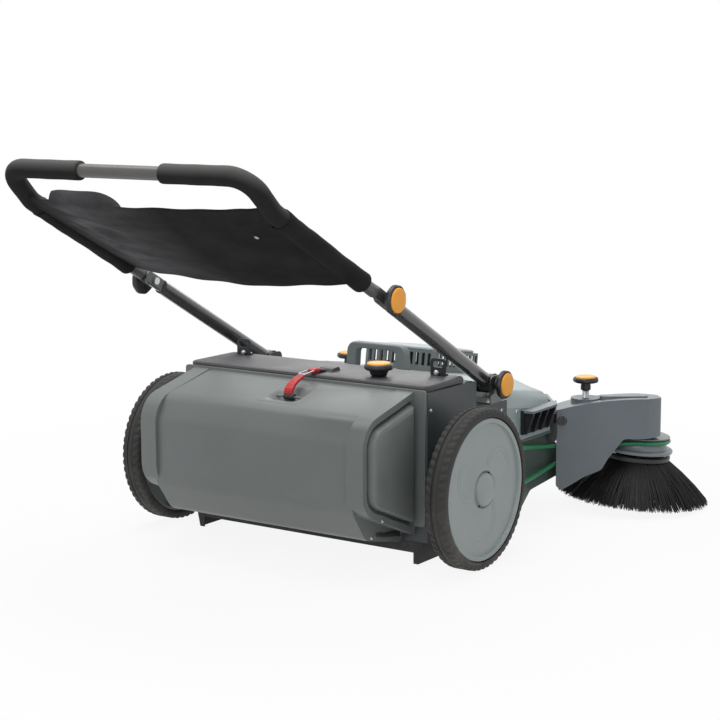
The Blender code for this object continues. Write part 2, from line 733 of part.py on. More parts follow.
def build_main_brush():
    """Roller: a tube core with rows of bristles, its shaft and the driven gear."""
    origin = (0, BRUSH_Y, BRUSH_Z)
    place = along_x(0, BRUSH_Y, BRUSH_Z)
    facets = ROLLER_ROWS * 2
    tufts = ROLLER_TUFTS
    bm = bmesh.new()
    rings = []
    for i in range(tufts + 1):
        x = -BRUSH_HALF + 2 * BRUSH_HALF * i / tufts
        chevron = 0.9 * abs(x) / BRUSH_HALF
        loop = []
        for k in range(facets):
            a = 2 * math.pi * k / facets + chevron
            loop.append(bm.verts.new((x, BRUSH_Y + CORE_R * math.cos(a), BRUSH_Z + CORE_R * math.sin(a))))
        rings.append(loop)
    chosen = []
    for i in range(tufts):
        for k in range(facets):
            n = (k + 1) % facets
            a, b, c, d = rings[i][k], rings[i][n], rings[i + 1][n], rings[i + 1][k]
            first = bm.faces.new((a, b, c))
            bm.faces.new((a, c, d))
            if k % 2 == 0:
                chosen.append(first)
    inner = []
    bore = (SHAFT_R + GAP) / math.cos(math.pi / facets) / CORE_R
    for loop, x in ((rings[0], -BRUSH_HALF), (rings[-1], BRUSH_HALF)):
        hub = [bm.verts.new((x, BRUSH_Y + (v.co.y - BRUSH_Y) * bore, BRUSH_Z + (v.co.z - BRUSH_Z) * bore))
               for v in loop]
        for k in range(facets):
            n = (k + 1) % facets
            bm.faces.new((loop[k], loop[n], hub[n], hub[k]))
        inner.append(hub)
    for k in range(facets):
        n = (k + 1) % facets
        bm.faces.new((inner[0][k], inner[0][n], inner[1][n], inner[1][k]))
    bmesh.ops.recalc_face_normals(bm, faces=bm.faces)
    for face in chosen:
        middle = face.calc_center_median()
        out = Vector((0, middle.y - BRUSH_Y, middle.z - BRUSH_Z)).normalized()
        reach = BRUSH_R - 0.0012 - random.random() * 0.004
        tip = Vector((middle.x, BRUSH_Y, BRUSH_Z)) + out * reach
        strand(bm, face, tip)
    finish("main_brush_bristles", bm, "bristles", origin)

    shaft_low = BODY_HALF - WALL - 0.030
    bm = disc(SHAFT_R, -(GEAR_X + GEAR_W), shaft_low + 0.026, 16, place)
    finish("main_brush_shaft", bm, "bright_steel", origin)

    # The gear's tooth gap faces a tooth of the wheel gear on the line of centres.
    line = math.atan2(-BRUSH_DROP, BRUSH_Y)
    wheel_pitch = 2 * math.pi / WHEEL_TEETH
    nearest = round(line / wheel_pitch) * wheel_pitch
    slip = (line - nearest) * WHEEL_TEETH / BRUSH_TEETH
    phase = line + math.pi + math.pi / BRUSH_TEETH + slip
    outline = [(BRUSH_Y + p.x, BRUSH_Z + p.y) for p in gear_outline(BRUSH_TEETH, phase)]
    low, high = -(GEAR_X + GEAR_W), -GEAR_X
    made = finish("main_brush_gear", prism(outline, "x", low, high), "gear_nylon", origin)
    bore = disc(SHAFT_R + GAP, low - 0.01, high + 0.01, 16, place)
    boolean(made, bore, "brush_gear_bore")

    for side in (1, -1):
        bm = ring(SHAFT_R + RUN, 0.019, BRUSH_HALF + 0.012, BODY_HALF - WALL - GAP, 16, place)
        finish("main_brush_bearing_" + side_name(side), mirrored(bm, side), "black_plastic", origin)


def hood_half(y):
    """Half width of the hood at y."""
    if y < HOOD_STEP_Y - 1e-6:
        return HOOD_NARROW
    if y <= TAPER_Y:
        return HOOD_HALF
    if y <= NOSE_Y:
        return HOOD_HALF + (NOSE_HALF - HOOD_HALF) * (y - TAPER_Y) / (NOSE_Y - TAPER_Y)
    t = (y - NOSE_Y) / (HOOD_FRONT - NOSE_Y)
    return NOSE_HALF + (TIP_HALF - NOSE_HALF) * t * t


def hood_ridge(y):
    """Height of the hood's middle at y: flat slope under the vent box, then a falling nose."""
    slope = (SLOPE_Z1 - SLOPE_Z0) / (SLOPE_Y1 - SLOPE_Y0)
    if y <= SLOPE_Y1:
        return SLOPE_Z0 + slope * (y - SLOPE_Y0)
    span = HOOD_FRONT - SLOPE_Y1
    t = (y - SLOPE_Y1) / span
    drop = SLOPE_Z1 - (FLANGE_Z + 0.006)
    run = slope * span * t * (1 - t)
    return SLOPE_Z1 + run - drop * (1 - math.sqrt(max(1 - t ** 2.4, 0)))


def hood_section(y, base):
    """Left to right outline of the hood at one y."""
    half = hood_half(y)
    ridge = hood_ridge(y)
    edge_r = min(HOOD_EDGE, (ridge - CROWN - base) * 0.8)
    crown = min(CROWN, (ridge - base) * 0.4)
    shoulder = ridge - crown
    points = [(half, base)]
    for k in range(4):
        a = math.pi / 2 * k / 3
        points.append((half - edge_r + edge_r * math.cos(a), shoulder - edge_r + edge_r * math.sin(a)))
    flat = min(CROWN_FLAT, half - edge_r - 0.01)
    inner = half - edge_r
    for share in (0.5, 0.0):
        x = flat + (inner - flat) * share
        points.append((x, ridge - crown * share ** 2))
    left = [(-x, z) for x, z in reversed(points)]
    return [Vector((x, y, z)) for x, z in points] + [Vector((x, y, z)) for x, z in left]


def build_hood():
    """Crowned front hood: sections lofted along y, then given its skin."""
    stations = [(HOOD_REAR, STEP_Z + GAP), (0.190, STEP_Z + GAP), (HOOD_STEP_Y - 0.0011, STEP_Z + GAP)]
    stations += [(HOOD_STEP_Y, FLANGE_Z + GAP)]
    stations += [(y, FLANGE_Z + GAP) for y in (0.32, 0.39, TAPER_Y, 0.485, 0.54, NOSE_Y, 0.615, 0.631)]
    stations += [(HOOD_FRONT, FLANGE_Z + GAP)]
    bm = bmesh.new()
    rows = [[bm.verts.new(p) for p in hood_section(y, base)] for y, base in stations]
    for a, b in zip(rows, rows[1:]):
        for k in range(len(a) - 1):
            bm.faces.new((a[k], a[k + 1], b[k + 1], b[k]))
    bmesh.ops.recalc_face_normals(bm, faces=bm.faces)
    top = max(bm.faces, key=lambda f: f.calc_center_median().z)
    if top.normal.z < 0:
        bmesh.ops.reverse_faces(bm, faces=bm.faces)
    mesh = bpy.data.meshes.new("front_hood")
    bm.to_mesh(mesh)
    bm.free()
    mesh.shade_smooth()
    mesh.set_sharp_from_angle(angle=math.radians(35))
    mesh.materials.append(material("hood_plastic"))
    made = bpy.data.objects.new("front_hood", mesh)
    bpy.context.scene.collection.objects.link(made)
    made.parent = sweeper
    mod = made.modifiers.new("skin", "SOLIDIFY")
    mod.thickness = HOOD_SKIN
    mod.offset = -1.0
    mod.use_even_offset = False
    return made


def lower_outline(shrink=0.0):
    """Plan of the lower body, drawn in by shrink."""
    half = LOWER_HALF - shrink
    nose = LOWER_NOSE_HALF - shrink
    rear, front = BODY_FRONT + GAP + shrink, LOWER_FRONT - shrink
    right = [(half, rear), (half, LOWER_TAPER_Y), (nose + 0.022, NOSE_Y - 0.010), (nose, front, 0.025)]
    return round_outline(right + [(-p[0], *p[1:]) for p in reversed(right)], 3)


def build_lower_body():
    """Tub under the hood with an outward rim for the hood to sit on."""
    made = finish("lower_body", prism(lower_outline(), "z", LOWER_BOTTOM, FLANGE_Z), "dark_plastic")
    boolean(made, prism(lower_outline(WALL), "z", LOWER_BOTTOM + WALL, FLANGE_Z + 0.02), "lower_cavity")
    for side in (1, -1):
        fin = [(BODY_FRONT + GAP, LOWER_FIN), (FIN_STEP_Y0, LOWER_FIN, 0.010), (FIN_STEP_Y1, FIN_Z0, 0.015),
               (FIN_FRONT, FIN_Z1), (FIN_FRONT, FIN_TOP, 0.010), (LOWER_TAPER_Y - 0.020, FIN_TOP),
               (BODY_FRONT + GAP, LOWER_BOTTOM + 0.010)]
        low, high = sorted((side * (LOWER_HALF - WALL), side * LOWER_HALF))
        boolean(made, prism(round_outline(fin, 2), "x", low, high), "fin_" + side_name(side), "UNION")
    rim = [(RIM_NARROW, BODY_FRONT + GAP), (RIM_NARROW, 0.310), (HOOD_HALF + 0.003, 0.330)]
    for y in (TAPER_Y, NOSE_Y, NOSE_Y + 0.03, HOOD_FRONT):
        rim.append((hood_half(y) + 0.003, y))
    rim[-1] = (TIP_HALF - 0.004, HOOD_FRONT + 0.003, 0.010)
    plan = round_outline(rim + [(-p[0], *p[1:]) for p in reversed(rim)], 3)
    flange = finish("rim_tool", prism(plan, "z", FLANGE_Z - FLANGE_T, FLANGE_Z), None)
    flange.hide_render = True
    flange.display_type = "WIRE"
    boolean(flange, prism(lower_outline(WALL), "z", FLANGE_Z - 0.02, FLANGE_Z + 0.02), "rim_hole")
    mod = made.modifiers.new("rim", "BOOLEAN")
    mod.operation = "UNION"
    mod.object = flange
    mod.solver = "EXACT"


def hood_frame(y, z_extra=0.0):
    """A frame on the hood's flat slope: local y runs forward down the slope, local z is its normal."""
    pitch = math.atan2(SLOPE_Z1 - SLOPE_Z0, SLOPE_Y1 - SLOPE_Y0)
    return Matrix.Translation((0, y, hood_ridge(y))) @ Matrix.Rotation(pitch, 4, "X") @ \
        Matrix.Translation((0, 0, z_extra))


def lid_outline(inset, radius):
    """Plan of the vent lid, drawn in from the box's outer walls."""
    half, low, high = VENT_HALF - inset, inset, VENT_LEN - inset
    return round_outline([(-half, low, radius), (half, low, radius), (half, high, radius),
                          (-half, high, radius)], 4)


def build_vent_box():
    """Louvred box on the hood: a shell with a slot in every pitch of its four walls."""
    place = hood_frame(VENT_Y0, GAP)
    outline = round_outline([(-VENT_HALF, 0, 0.012), (VENT_HALF, 0, 0.012),
                             (VENT_HALF, VENT_LEN, 0.012), (-VENT_HALF, VENT_LEN, 0.012)], 2)
    bm = prism(outline, "z", 0.0, VENT_H)
    bmesh.ops.transform(bm, matrix=place, verts=bm.verts)
    made = finish("vent_box", bm, "grey_plastic")
    inner = [(-VENT_HALF + VENT_WALL, VENT_WALL, 0.009), (VENT_HALF - VENT_WALL, VENT_WALL, 0.009),
             (VENT_HALF - VENT_WALL, VENT_LEN - VENT_WALL, 0.009),
             (-VENT_HALF + VENT_WALL, VENT_LEN - VENT_WALL, 0.009)]
    bm = prism(round_outline(inner, 2), "z", -0.01, VENT_H - VENT_WALL)
    bmesh.ops.transform(bm, matrix=place, verts=bm.verts)
    boolean(made, bm, "vent_cavity")
    low = VENT_H - VENT_WALL - 0.003 - SLOT_H
    bm = bmesh.new()
    reach = SLOT_PITCH * (SLOTS - 1) / 2
    for i in range(SLOTS):
        offset = -reach + SLOT_PITCH * i
        for y in (0.0, VENT_LEN):
            block((offset - SLOT_W / 2, y - 0.008, low), (offset + SLOT_W / 2, y + 0.008, low + SLOT_H), bm)
        for x in (-VENT_HALF, VENT_HALF):
            y = VENT_LEN / 2 + offset
            block((x - 0.008, y - SLOT_W / 2, low), (x + 0.008, y + SLOT_W / 2, low + SLOT_H), bm)
    bmesh.ops.transform(bm, matrix=place, verts=bm.verts)
    boolean(made, bm, "vent_slots")

    base = VENT_H + GAP
    bm = stacked([(lid_outline(0.006, 0.020), base), (lid_outline(0.006, 0.020), base + LID_T - 0.002),
                  (lid_outline(0.008, 0.020), base + LID_T),
                  (lid_outline(0.046, 0.020), base + LID_T + LID_CROWN)])
    bmesh.ops.transform(bm, matrix=place, verts=bm.verts)
    finish("vent_lid", bm, "hood_plastic")


def build_carry_handle():
    """Loop grip in front of the vent box, on two feet."""
    base = hood_ridge(CARRY_Y + CARRY_DEPTH / 2) + GAP
    half = CARRY_HALF
    outer = round_outline([(-half - 0.004, base), (half + 0.004, base), (half, CARRY_TOP, 0.020),
                           (-half, CARRY_TOP, 0.020)], 4)
    made = finish("carry_handle", prism(outer, "y", CARRY_Y - CARRY_DEPTH / 2, CARRY_Y + CARRY_DEPTH / 2),
                  "grey_plastic")
    inner = half - CARRY_LEG
    window = round_outline([(-inner, base - 0.02), (inner, base - 0.02),
                            (inner - 0.004, CARRY_TOP - CARRY_BAR, 0.012),
                            (-inner + 0.004, CARRY_TOP - CARRY_BAR, 0.012)], 4)
    boolean(made, prism(window, "y", CARRY_Y - 0.05, CARRY_Y + 0.05), "carry_window")
    place = hood_frame(CARRY_Y)
    under = bmesh.new()
    block((-0.2, -0.1, -0.05), (0.2, 0.1, GAP), under)
    bmesh.ops.transform(under, matrix=place, verts=under.verts)
    boolean(made, under, "carry_seat")


def build_hopper():
    """Rear dust hopper: a rounded bin with a thick ear at each end and a front flange."""
    front = HOPPER_FRONT
    body = round_outline([
        (front, ROOF_TOP), (ROOF_END, ROOF_LOW, 0.035), (HOPPER_REAR, BACK_TOP, 0.030),
        (HOPPER_REAR, BACK_LOW, 0.045), (BELLY_END, BELLY_LOW, 0.030), (front, HOPPER_LOW)], 3)
    ear = [(front, EAR_TOP), (EAR_ROOF_END, EAR_ROOF_LOW, 0.058), (EAR_REAR, EAR_BACK_TOP, 0.058),
           (EAR_REAR, EAR_BACK_LOW, 0.053), (EAR_BELLY_END, EAR_BELLY_LOW, 0.075), (front, EAR_LOW)]
    made = finish("hopper_shell", prism(body, "x", -BIN_HALF, BIN_HALF), "grey_plastic")
    ears = bmesh.new()
    prism(shrunk(ear, 0.0), "x", EAR_IN, EAR_OUT, ears)
    prism(shrunk(ear, 0.0), "x", -EAR_OUT, -EAR_IN, ears)
    boolean(made, ears, "hopper_ears", "UNION")
    flange = round_outline([(-FLANGE_HALF, FLANGE_LOW, 0.006), (FLANGE_HALF, FLANGE_LOW, 0.006),
                            (FLANGE_HALF, FLANGE_HIGH, 0.006), (-FLANGE_HALF, FLANGE_HIGH, 0.006)], 2)
    boolean(made, prism(flange, "y", front - 0.006, front), "hopper_flange", "UNION")
    grooves = bmesh.new()
    outer = shrunk(ear, EAR_BAND)
    for side in (1, -1):
        low, high = sorted((side * (EAR_OUT - GROOVE_DEPTH), side * (EAR_OUT + 0.02)))
        prism(outer, "x", low, high, grooves)
    boolean(made, grooves, "hopper_grooves")
    panels = bmesh.new()
    inner = shrunk(ear, EAR_BAND + GROOVE)
    for side in (1, -1):
        panel = bmesh.new()
        low, high = sorted((side * (EAR_OUT - GROOVE_DEPTH - 0.002), side * PANEL_OUT))
        prism(inner, "x", low, high, panel)
        rim = [e for e in panel.edges if all(abs(v.co.x - side * PANEL_OUT) < 1e-5 for v in e.verts)]
        bmesh.ops.bevel(panel, geom=rim, offset=0.010, segments=2, affect="EDGES", profile=0.5)
        mesh = bpy.data.meshes.new("panel")
        panel.to_mesh(mesh)
        panel.free()
        panels.from_mesh(mesh)
    boolean(made, panels, "hopper_panels", "UNION")
    cavity = inset_outline(body, HOPPER_WALL)
    cavity = [(y if y < front - 0.010 else front + 0.02, z) for y, z in cavity]
    end = BIN_HALF - HOPPER_WALL
    tool = finish("hopper_cavity_tool", prism(cavity, "x", -end, end), None)
    tool.hide_render = True
    tool.display_type = "WIRE"
    left, right = RECESS_X - RECESS_W / 2, RECESS_X + RECESS_W / 2
    rear = RECESS_Y0 - 0.012
    keep = block((left - HOPPER_WALL, rear - HOPPER_WALL, roof_z(RECESS_Y0) - RECESS_DEPTH - 0.005),
                 (right + HOPPER_WALL, RECESS_Y1 + HOPPER_WALL, DECK_TOP))
    boolean(tool, keep, "recess_boss")
    mod = made.modifiers.new("hopper_cavity", "BOOLEAN")
    mod.object = tool
    mod.solver = "EXACT"
    hollow = [(y if y < front - 0.010 else front + 0.02, z) for y, z in shrunk(ear, HOPPER_WALL)]
    pockets = bmesh.new()
    for side in (1, -1):
        low, high = sorted((side * (end - GAP), side * (EAR_OUT - GROOVE_DEPTH - 0.007)))
        prism(hollow, "x", low, high, pockets)
    boolean(made, pockets, "ear_cavities")
    pocket = [(rear, DECK_TOP)]
    for k in range(6):
        y = rear + SCOOP * k / 5
        pocket.append((y, roof_z(y) - RECESS_DEPTH * math.sin(math.pi / 2 * k / 5)))
    pocket += [(RECESS_Y1 - 0.006, roof_z(RECESS_Y1 - 0.006) - RECESS_DEPTH),
               (RECESS_Y1, roof_z(RECESS_Y1) - RECESS_DEPTH + 0.005), (RECESS_Y1, DECK_TOP)]
    boolean(made, prism(pocket, "x", left, right), "latch_pocket")


def roof_z(y):
    """Height of the hopper's sloping roof at y."""
    return ROOF_TOP + (ROOF_LOW - ROOF_TOP) * (y - HOPPER_FRONT) / (ROOF_END - HOPPER_FRONT)


def inset_outline(points, distance):
    """Move a closed outline inwards by a distance, corner by corner."""
    pts = [Vector(p[:2]) for p in points]
    area = sum(a.x * b.y - b.x * a.y for a, b in zip(pts, pts[1:] + pts[:1]))
    sign = 1.0 if area > 0 else -1.0
    out = []
    for i, here in enumerate(pts):
        d0 = (here - pts[i - 1]).normalized()
        d1 = (pts[(i + 1) % len(pts)] - here).normalized()
        n0 = Vector((-d0.y, d0.x)) * sign
        n1 = Vector((-d1.y, d1.x)) * sign
        mid = (n0 + n1).normalized()
        out.append(here + mid * distance / max(mid.dot(n0), 0.5))
    return out


def shrunk(corners, distance):
    """Filleted outline drawn in by a distance; the fillets tighten with it."""
    pts = inset_outline(corners, distance)
    radii = [c[2] if len(c) > 2 else 0.0 for c in corners]
    return round_outline([(*p, max(r - distance, 0.008) if r else 0.0) for p, r in zip(pts, radii)], 3)


def build_latch():
    """Red draw latch: a curved lever hinged in the hopper's pocket, with a wire over the catch."""
    pivot = Vector((RECESS_X, LATCH_PIVOT_Y, LATCH_PIVOT_Z))
    half = LATCH_W / 2
    edge_z = FLANGE_HIGH + 0.0045
    path = [(LATCH_PIVOT_Y - 0.003, LATCH_PIVOT_Z + 0.000), (LATCH_PIVOT_Y + 0.014, LATCH_PIVOT_Z + 0.012),
            (HOPPER_FRONT - 0.022, edge_z + 0.003), (HOPPER_FRONT + 0.004, DECK_TOP + 0.006),
            (PAD_Y - 0.024, DECK_TOP + 0.0070), (PAD_Y + 0.004, DECK_TOP + PAD_H + 0.0040)]
    top, bottom = [], []
    for i, (y, z) in enumerate(path):
        a = Vector(path[max(i - 1, 0)])
        b = Vector(path[min(i + 1, len(path) - 1)])
        normal = Vector((-(b - a).y, (b - a).x)).normalized()
        thick = LATCH_T / 2 * (1.2 if i < 3 else 0.7)
        top.append(Vector((y, z)) + normal * thick)
        bottom.append(Vector((y, z)) - normal * thick)
    outline = top + bottom[::-1]
    made = finish("latch_strap", prism(outline, "x", RECESS_X - half, RECESS_X + half), "red_rubber", pivot)
    eye = disc(LATCH_EYE_R, -half, half, 12, along_x(RECESS_X, LATCH_PIVOT_Y, LATCH_PIVOT_Z))
    boolean(made, eye, "latch_eye", "UNION")
    bore = disc(LATCH_PIN_R + GAP * 2, -0.05, 0.05, 12, along_x(RECESS_X, LATCH_PIVOT_Y, LATCH_PIVOT_Z))
    boolean(made, bore, "latch_bore")

    reach = RECESS_W / 2 - GAP
    bm = disc(LATCH_PIN_R, -reach, reach, 12, along_x(RECESS_X, LATCH_PIVOT_Y, LATCH_PIVOT_Z))
    finish("latch_pin", bm, "bright_steel", pivot)


def build_skirt():
    """Rubber skirt inside the housing's walls: side flaps to the floor, higher lips front and rear."""
    half = BODY_HALF - WALL - GAP
    rear, front = BODY_REAR + WALL + GAP, BODY_FRONT - WALL - GAP
    plan = [(-half, rear), (half, rear), (half, front), (-half, front)]
    made = finish("rubber_skirt", lean_skirt(prism(plan, "z", SKIRT_LOW, SKIRT_TOP)), "flap_rubber")
    thick = SKIRT_T
    plan = [(-half + thick, rear + thick), (half - thick, rear + thick),
            (half - thick, front - thick), (-half + thick, front - thick)]
    boolean(made, lean_skirt(prism(plan, "z", SKIRT_LOW - 0.01, SKIRT_TOP + 0.01)), "skirt_inside")
    gaps = block((-SKIRT_GAP_HALF, rear - 0.01, -0.02), (SKIRT_GAP_HALF, rear + 0.012, LIP_REAR))
    block((-SKIRT_GAP_HALF, front - 0.012, -0.02), (SKIRT_GAP_HALF, front + 0.01, LIP_FRONT), gaps)
    boolean(made, gaps, "skirt_gaps")


def lean_skirt(bm):
    """Draw the skirt's lower edge in at the sides."""
    half = BODY_HALF - WALL - GAP
    for v in bm.verts:
        share = min((SKIRT_TOP - v.co.z) / (SKIRT_TOP - SKIRT_LOW), 1.1)
        v.co.x -= math.copysign((half - SKIRT_FOOT_HALF) * max(share, 0), v.co.x)
    return bm


def handle_direction():
    """Unit vector up the lower handle tube, as (y, z)."""
    return Vector((FOLD_Y - PIVOT_Y, FOLD_Z - PIVOT_Z)).normalized()


def build_handle_bracket(side):
    """Steel fork on the housing that carries one of the handle's pivots."""
    tag = side_name(side)
    inner_x = ARM_X - TUBE_R - SWING
    outer_x = ARM_X + TUBE_R + SWING
    base = STEP_Z + GAP
    fork = [(inner_x - FORK_PLATE, base), (outer_x + FORK_PLATE, base),
            (outer_x + FORK_PLATE, PIVOT_Z + 0.018),
            (outer_x, PIVOT_Z + 0.018), (outer_x, base + FORK_PLATE), (inner_x, base + FORK_PLATE),
            (inner_x, PIVOT_Z + 0.018), (inner_x - FORK_PLATE, PIVOT_Z + 0.018)]
    bm = prism(fork, "y", PIVOT_Y - 0.024, PIVOT_Y + 0.024)
    tops = [e for e in bm.edges if abs(e.verts[0].co.x - e.verts[1].co.x) > FORK_PLATE * 0.9
            and min(v.co.z for v in e.verts) > PIVOT_Z]
    bmesh.ops.bevel(bm, geom=tops, offset=0.012, segments=3, affect="EDGES", profile=0.5)
    made = finish("handle_bracket_" + tag, mirrored(bm, side), "bright_steel")
    bore = disc(BOLT_R + GAP, inner_x - 0.01, outer_x + 0.01, 16, along_x(0, PIVOT_Y, PIVOT_Z))
    boolean(made, mirrored(bore, side), "bracket_bore_" + tag)


def build_handle():
    """Lower tubes, upper U tube, grips, cloth and clamp knobs."""
    along = handle_direction()
    origin = (0, PIVOT_Y, PIVOT_Z)
    fold = (0, FOLD_Y, FOLD_Z)
    reach = (Vector((FOLD_Y, FOLD_Z)) - Vector((PIVOT_Y, PIVOT_Z))).length
    flat_x = ARM_X - LUG_T - GAP / 2
    spot = Vector((FOLD_Y, FOLD_Z))
    across = Vector((-along.y, along.x))
    strip = [(*(spot + along * 0.016 + across * 0.0135), 0.008),
             (*(spot + along * 0.016 - across * 0.0135), 0.008),
             tuple(spot - along * 0.045 - across * 0.0135), tuple(spot - along * 0.045 + across * 0.0135)]
    foot = Vector((ARM_X, PIVOT_Y, PIVOT_Z))
    for side in (1, -1):
        tag = side_name(side)
        bm = pipe([foot + Vector((0, *along)) * 0.012, foot + Vector((0, *along)) * (reach - 0.030)], TUBE_R,
                  TUBE_R - TUBE_WALL, 12)
        made = finish("lower_tube_" + tag, mirrored(bm, side), "frame_paint", origin)
        boss = disc(0.021, ARM_X - TUBE_R, ARM_X + TUBE_R, 16, along_x(0, PIVOT_Y, PIVOT_Z))
        boolean(made, mirrored(boss, side), "tube_boss_" + tag, "UNION")
        flat = prism(round_outline(strip, 3), "x", flat_x, flat_x + LUG_T)
        boolean(made, mirrored(flat, side), "tube_flat_" + tag, "UNION")
        bores = disc(BOLT_R + GAP, ARM_X - 0.04, ARM_X + 0.04, 16, along_x(0, PIVOT_Y, PIVOT_Z))
        disc(BOLT_R + GAP, ARM_X - 0.04, ARM_X + 0.04, 16, along_x(0, FOLD_Y, FOLD_Z), bores)
        boolean(made, mirrored(bores, side), "tube_bores_" + tag)

    upper = Vector((BEND_Y - FOLD_Y, BEND_Z - FOLD_Z)).normalized()
    start = Vector((ARM_X, FOLD_Y, FOLD_Z)) + Vector((0, *upper)) * 0.040
    corner = [start, (ARM_X, BEND_Y, BEND_Z), (ARM_X - 0.004, BAR_Y, BAR_Z), (0.0, BAR_Y, BAR_Z)]
    half_path = fillet_path(corner, 0.045, 3)
    path = half_path[:-1] + [Vector((-p.x, p.y, p.z)) for p in reversed(half_path[:-1])]
    made = finish("upper_handle", pipe(path, UPPER_R, UPPER_R - TUBE_WALL, 10), "frame_paint", fold)
    lugs = bmesh.new()
    spot = Vector((FOLD_Y, FOLD_Z))
    across = Vector((-upper.y, upper.x))
    strip = round_outline([(*(spot - upper * 0.016 - across * 0.012), 0.008),
                           (*(spot - upper * 0.016 + across * 0.012), 0.008),
                           tuple(spot + upper * 0.055 + across * 0.011),
                           tuple(spot + upper * 0.055 - across * 0.011)], 3)
    bores = bmesh.new()
    for side in (1, -1):
        low, high = sorted((side * (ARM_X + GAP / 2), side * (ARM_X + GAP / 2 + LUG_T)))
        prism(strip, "x", low, high, lugs)
        low, high = sorted((side * (ARM_X - 0.03), side * (ARM_X + 0.03)))
        disc(BOLT_R + GAP, low, high, 16, along_x(0, FOLD_Y, FOLD_Z), bores)
    boolean(made, lugs, "upper_lugs", "UNION")
    boolean(made, bores, "upper_bores")

    grip = [p for p in half_path if p.y < GRIP_END_Y]
    first = Vector((ARM_X, GRIP_END_Y, BEND_Z + (GRIP_END_Y - BEND_Y) * upper.y / upper.x))
    grip = [first] + grip[:-1] + [Vector((GRIP_IN_X, BAR_Y, BAR_Z))]
    for side in (1, -1):
        bm = pipe(grip, GRIP_R, UPPER_R + GAP * 3, 10)
        finish("foam_grip_" + side_name(side), mirrored(bm, side), "grip_foam", fold)

    build_cloth(upper, fold)
    build_clamps(origin, fold)


def build_cloth(upper, fold):
    """Cloth panel slung between the arms, with a sleeve round each arm."""
    stations = 7
    across = 12
    ring_n = 12
    normal = Vector((0, -upper.y, upper.x))
    if normal.z < 0:
        normal = -normal
    bm = bmesh.new()
    loops, holes = [], []
    for s in range(stations):
        t = s / (stations - 1)
        y = CLOTH_Y0 + (CLOTH_Y1 - CLOTH_Y0) * t
        z = BEND_Z + (y - BEND_Y) * upper.y / upper.x
        middle = Vector((0, y, z))
        outer, bores = [], []
        for side in (1, -1):
            centre = middle + Vector((side * ARM_X, 0, 0))
            hole = []
            for k in range(ring_n):
                a = 2 * math.pi * k / ring_n
                spoke = Vector((side * math.cos(a), 0, 0)) + normal * math.sin(a)
                hole.append(bm.verts.new(centre + spoke * (UPPER_R + 0.0007)))
            bores.append(hole)
            arc = []
            for k in range(-5, 6):
                a = 2 * math.pi * k / ring_n
                spoke = Vector((side * math.cos(a), 0, 0)) + normal * math.sin(a)
                arc.append(bm.verts.new(centre + spoke * SLEEVE_R))
            outer.append(arc)
        top, bottom = [], []
        for k in range(1, across):
            share = k / across
            x = (ARM_X - SLEEVE_R * 1.2) * (1 - 2 * share)
            sag = (CLOTH_SAG_TOP + (CLOTH_SAG_LOW - CLOTH_SAG_TOP) * t) * (1 - (2 * share - 1) ** 2)
            blend = min(1.0, 8 * min(share, 1 - share))
            half = SLEEVE_R * 0.3 * (1 - blend) + CLOTH_T / 2 * blend
            fold_in = 0.012 * math.sin(math.pi * share) * (1 - 2 * t)
            point = middle + Vector((x, 0, 0)) - Vector((0, 0, sag)) + Vector((0, fold_in, 0))
            top.append(bm.verts.new(point + normal * half))
            bottom.append(bm.verts.new(point - normal * half))
        loops.append((outer, top, bottom))
        holes.append(bores)

    def rim(entry):
        outer, top, bottom = entry
        return outer[0] + top + outer[1][::-1] + bottom[::-1]

    for a, b in zip(loops, loops[1:]):
        ra, rb = rim(a), rim(b)
        for k in range(len(ra)):
            n = (k + 1) % len(ra)
            bm.faces.new((ra[k], ra[n], rb[n], rb[k]))
    for a, b in zip(holes, holes[1:]):
        for ha, hb in zip(a, b):
            for k in range(ring_n):
                n = (k + 1) % ring_n
                bm.faces.new((ha[k], hb[k], hb[n], ha[n]))
    for (outer, top, bottom), bores in ((loops[0], holes[0]), (loops[-1], holes[-1])):
        for side in (0, 1):
            arc, hole = outer[side], bores[side]
            for k in range(10):
                bm.faces.new((arc[k], arc[k + 1], hole[(k - 4) % ring_n], hole[(k - 5) % ring_n]))
            bm.faces.new((arc[10], hole[5], hole[6], hole[7], arc[0]))
            near = 0 if side == 0 else -1
            bm.faces.new((arc[10], top[near], bottom[near], arc[0]))
        for k in range(len(top) - 1):
            bm.faces.new((top[k], top[k + 1], bottom[k + 1], bottom[k]))
    finish("cloth_panel", bm, "black_cloth", fold)


def build_clamps(pivot, fold):
    """Clamp knobs of the handle: each turns on its own axis with its stud and end nut."""
    spots = (("pivot", pivot, ARM_X + TUBE_R + SWING + FORK_PLATE, ARM_X - TUBE_R - SWING - FORK_PLATE),
             ("fold", fold, ARM_X + LUG_T + GAP / 2, ARM_X - LUG_T - GAP / 2))
    for kind, centre, seat, back in spots:
        for side in (1, -1):
            place = along_x(seat + GAP, centre[1], centre[2])
            depth = seat + GAP - back + GAP
            stud = [(BOLT_R, 0.0), (BOLT_R, depth), (0.0075, depth), (0.0075, depth + 0.006)]
            bm = star_knob(KNOB_R, KNOB_H, stud, place)
            origin = (side * (seat + GAP), centre[1], centre[2])
            finish("knob_" + kind + "_" + side_name(side), mirrored(bm, side), "black_plastic", origin)


def arm_frame():
    """The arm's own axes: u along it, v across, z up, from the cover's rear inner corner."""
    return Matrix.Translation(ARM_ORIGIN) @ Matrix.Rotation(ARM_TURN, 4, "Z")


def brush_frame():
    """The side brush's own axes, z along its tilted spindle, from the middle of the tips."""
    rest = SIDE_R * math.sin(SIDE_TILT) + SIDE_LIFT
    lean = Vector((-math.sin(SIDE_LOW), math.cos(SIDE_LOW), 0))
    return Matrix.Translation((SIDE_X, SIDE_Y, rest)) @ Matrix.Rotation(SIDE_TILT, 4, lean)


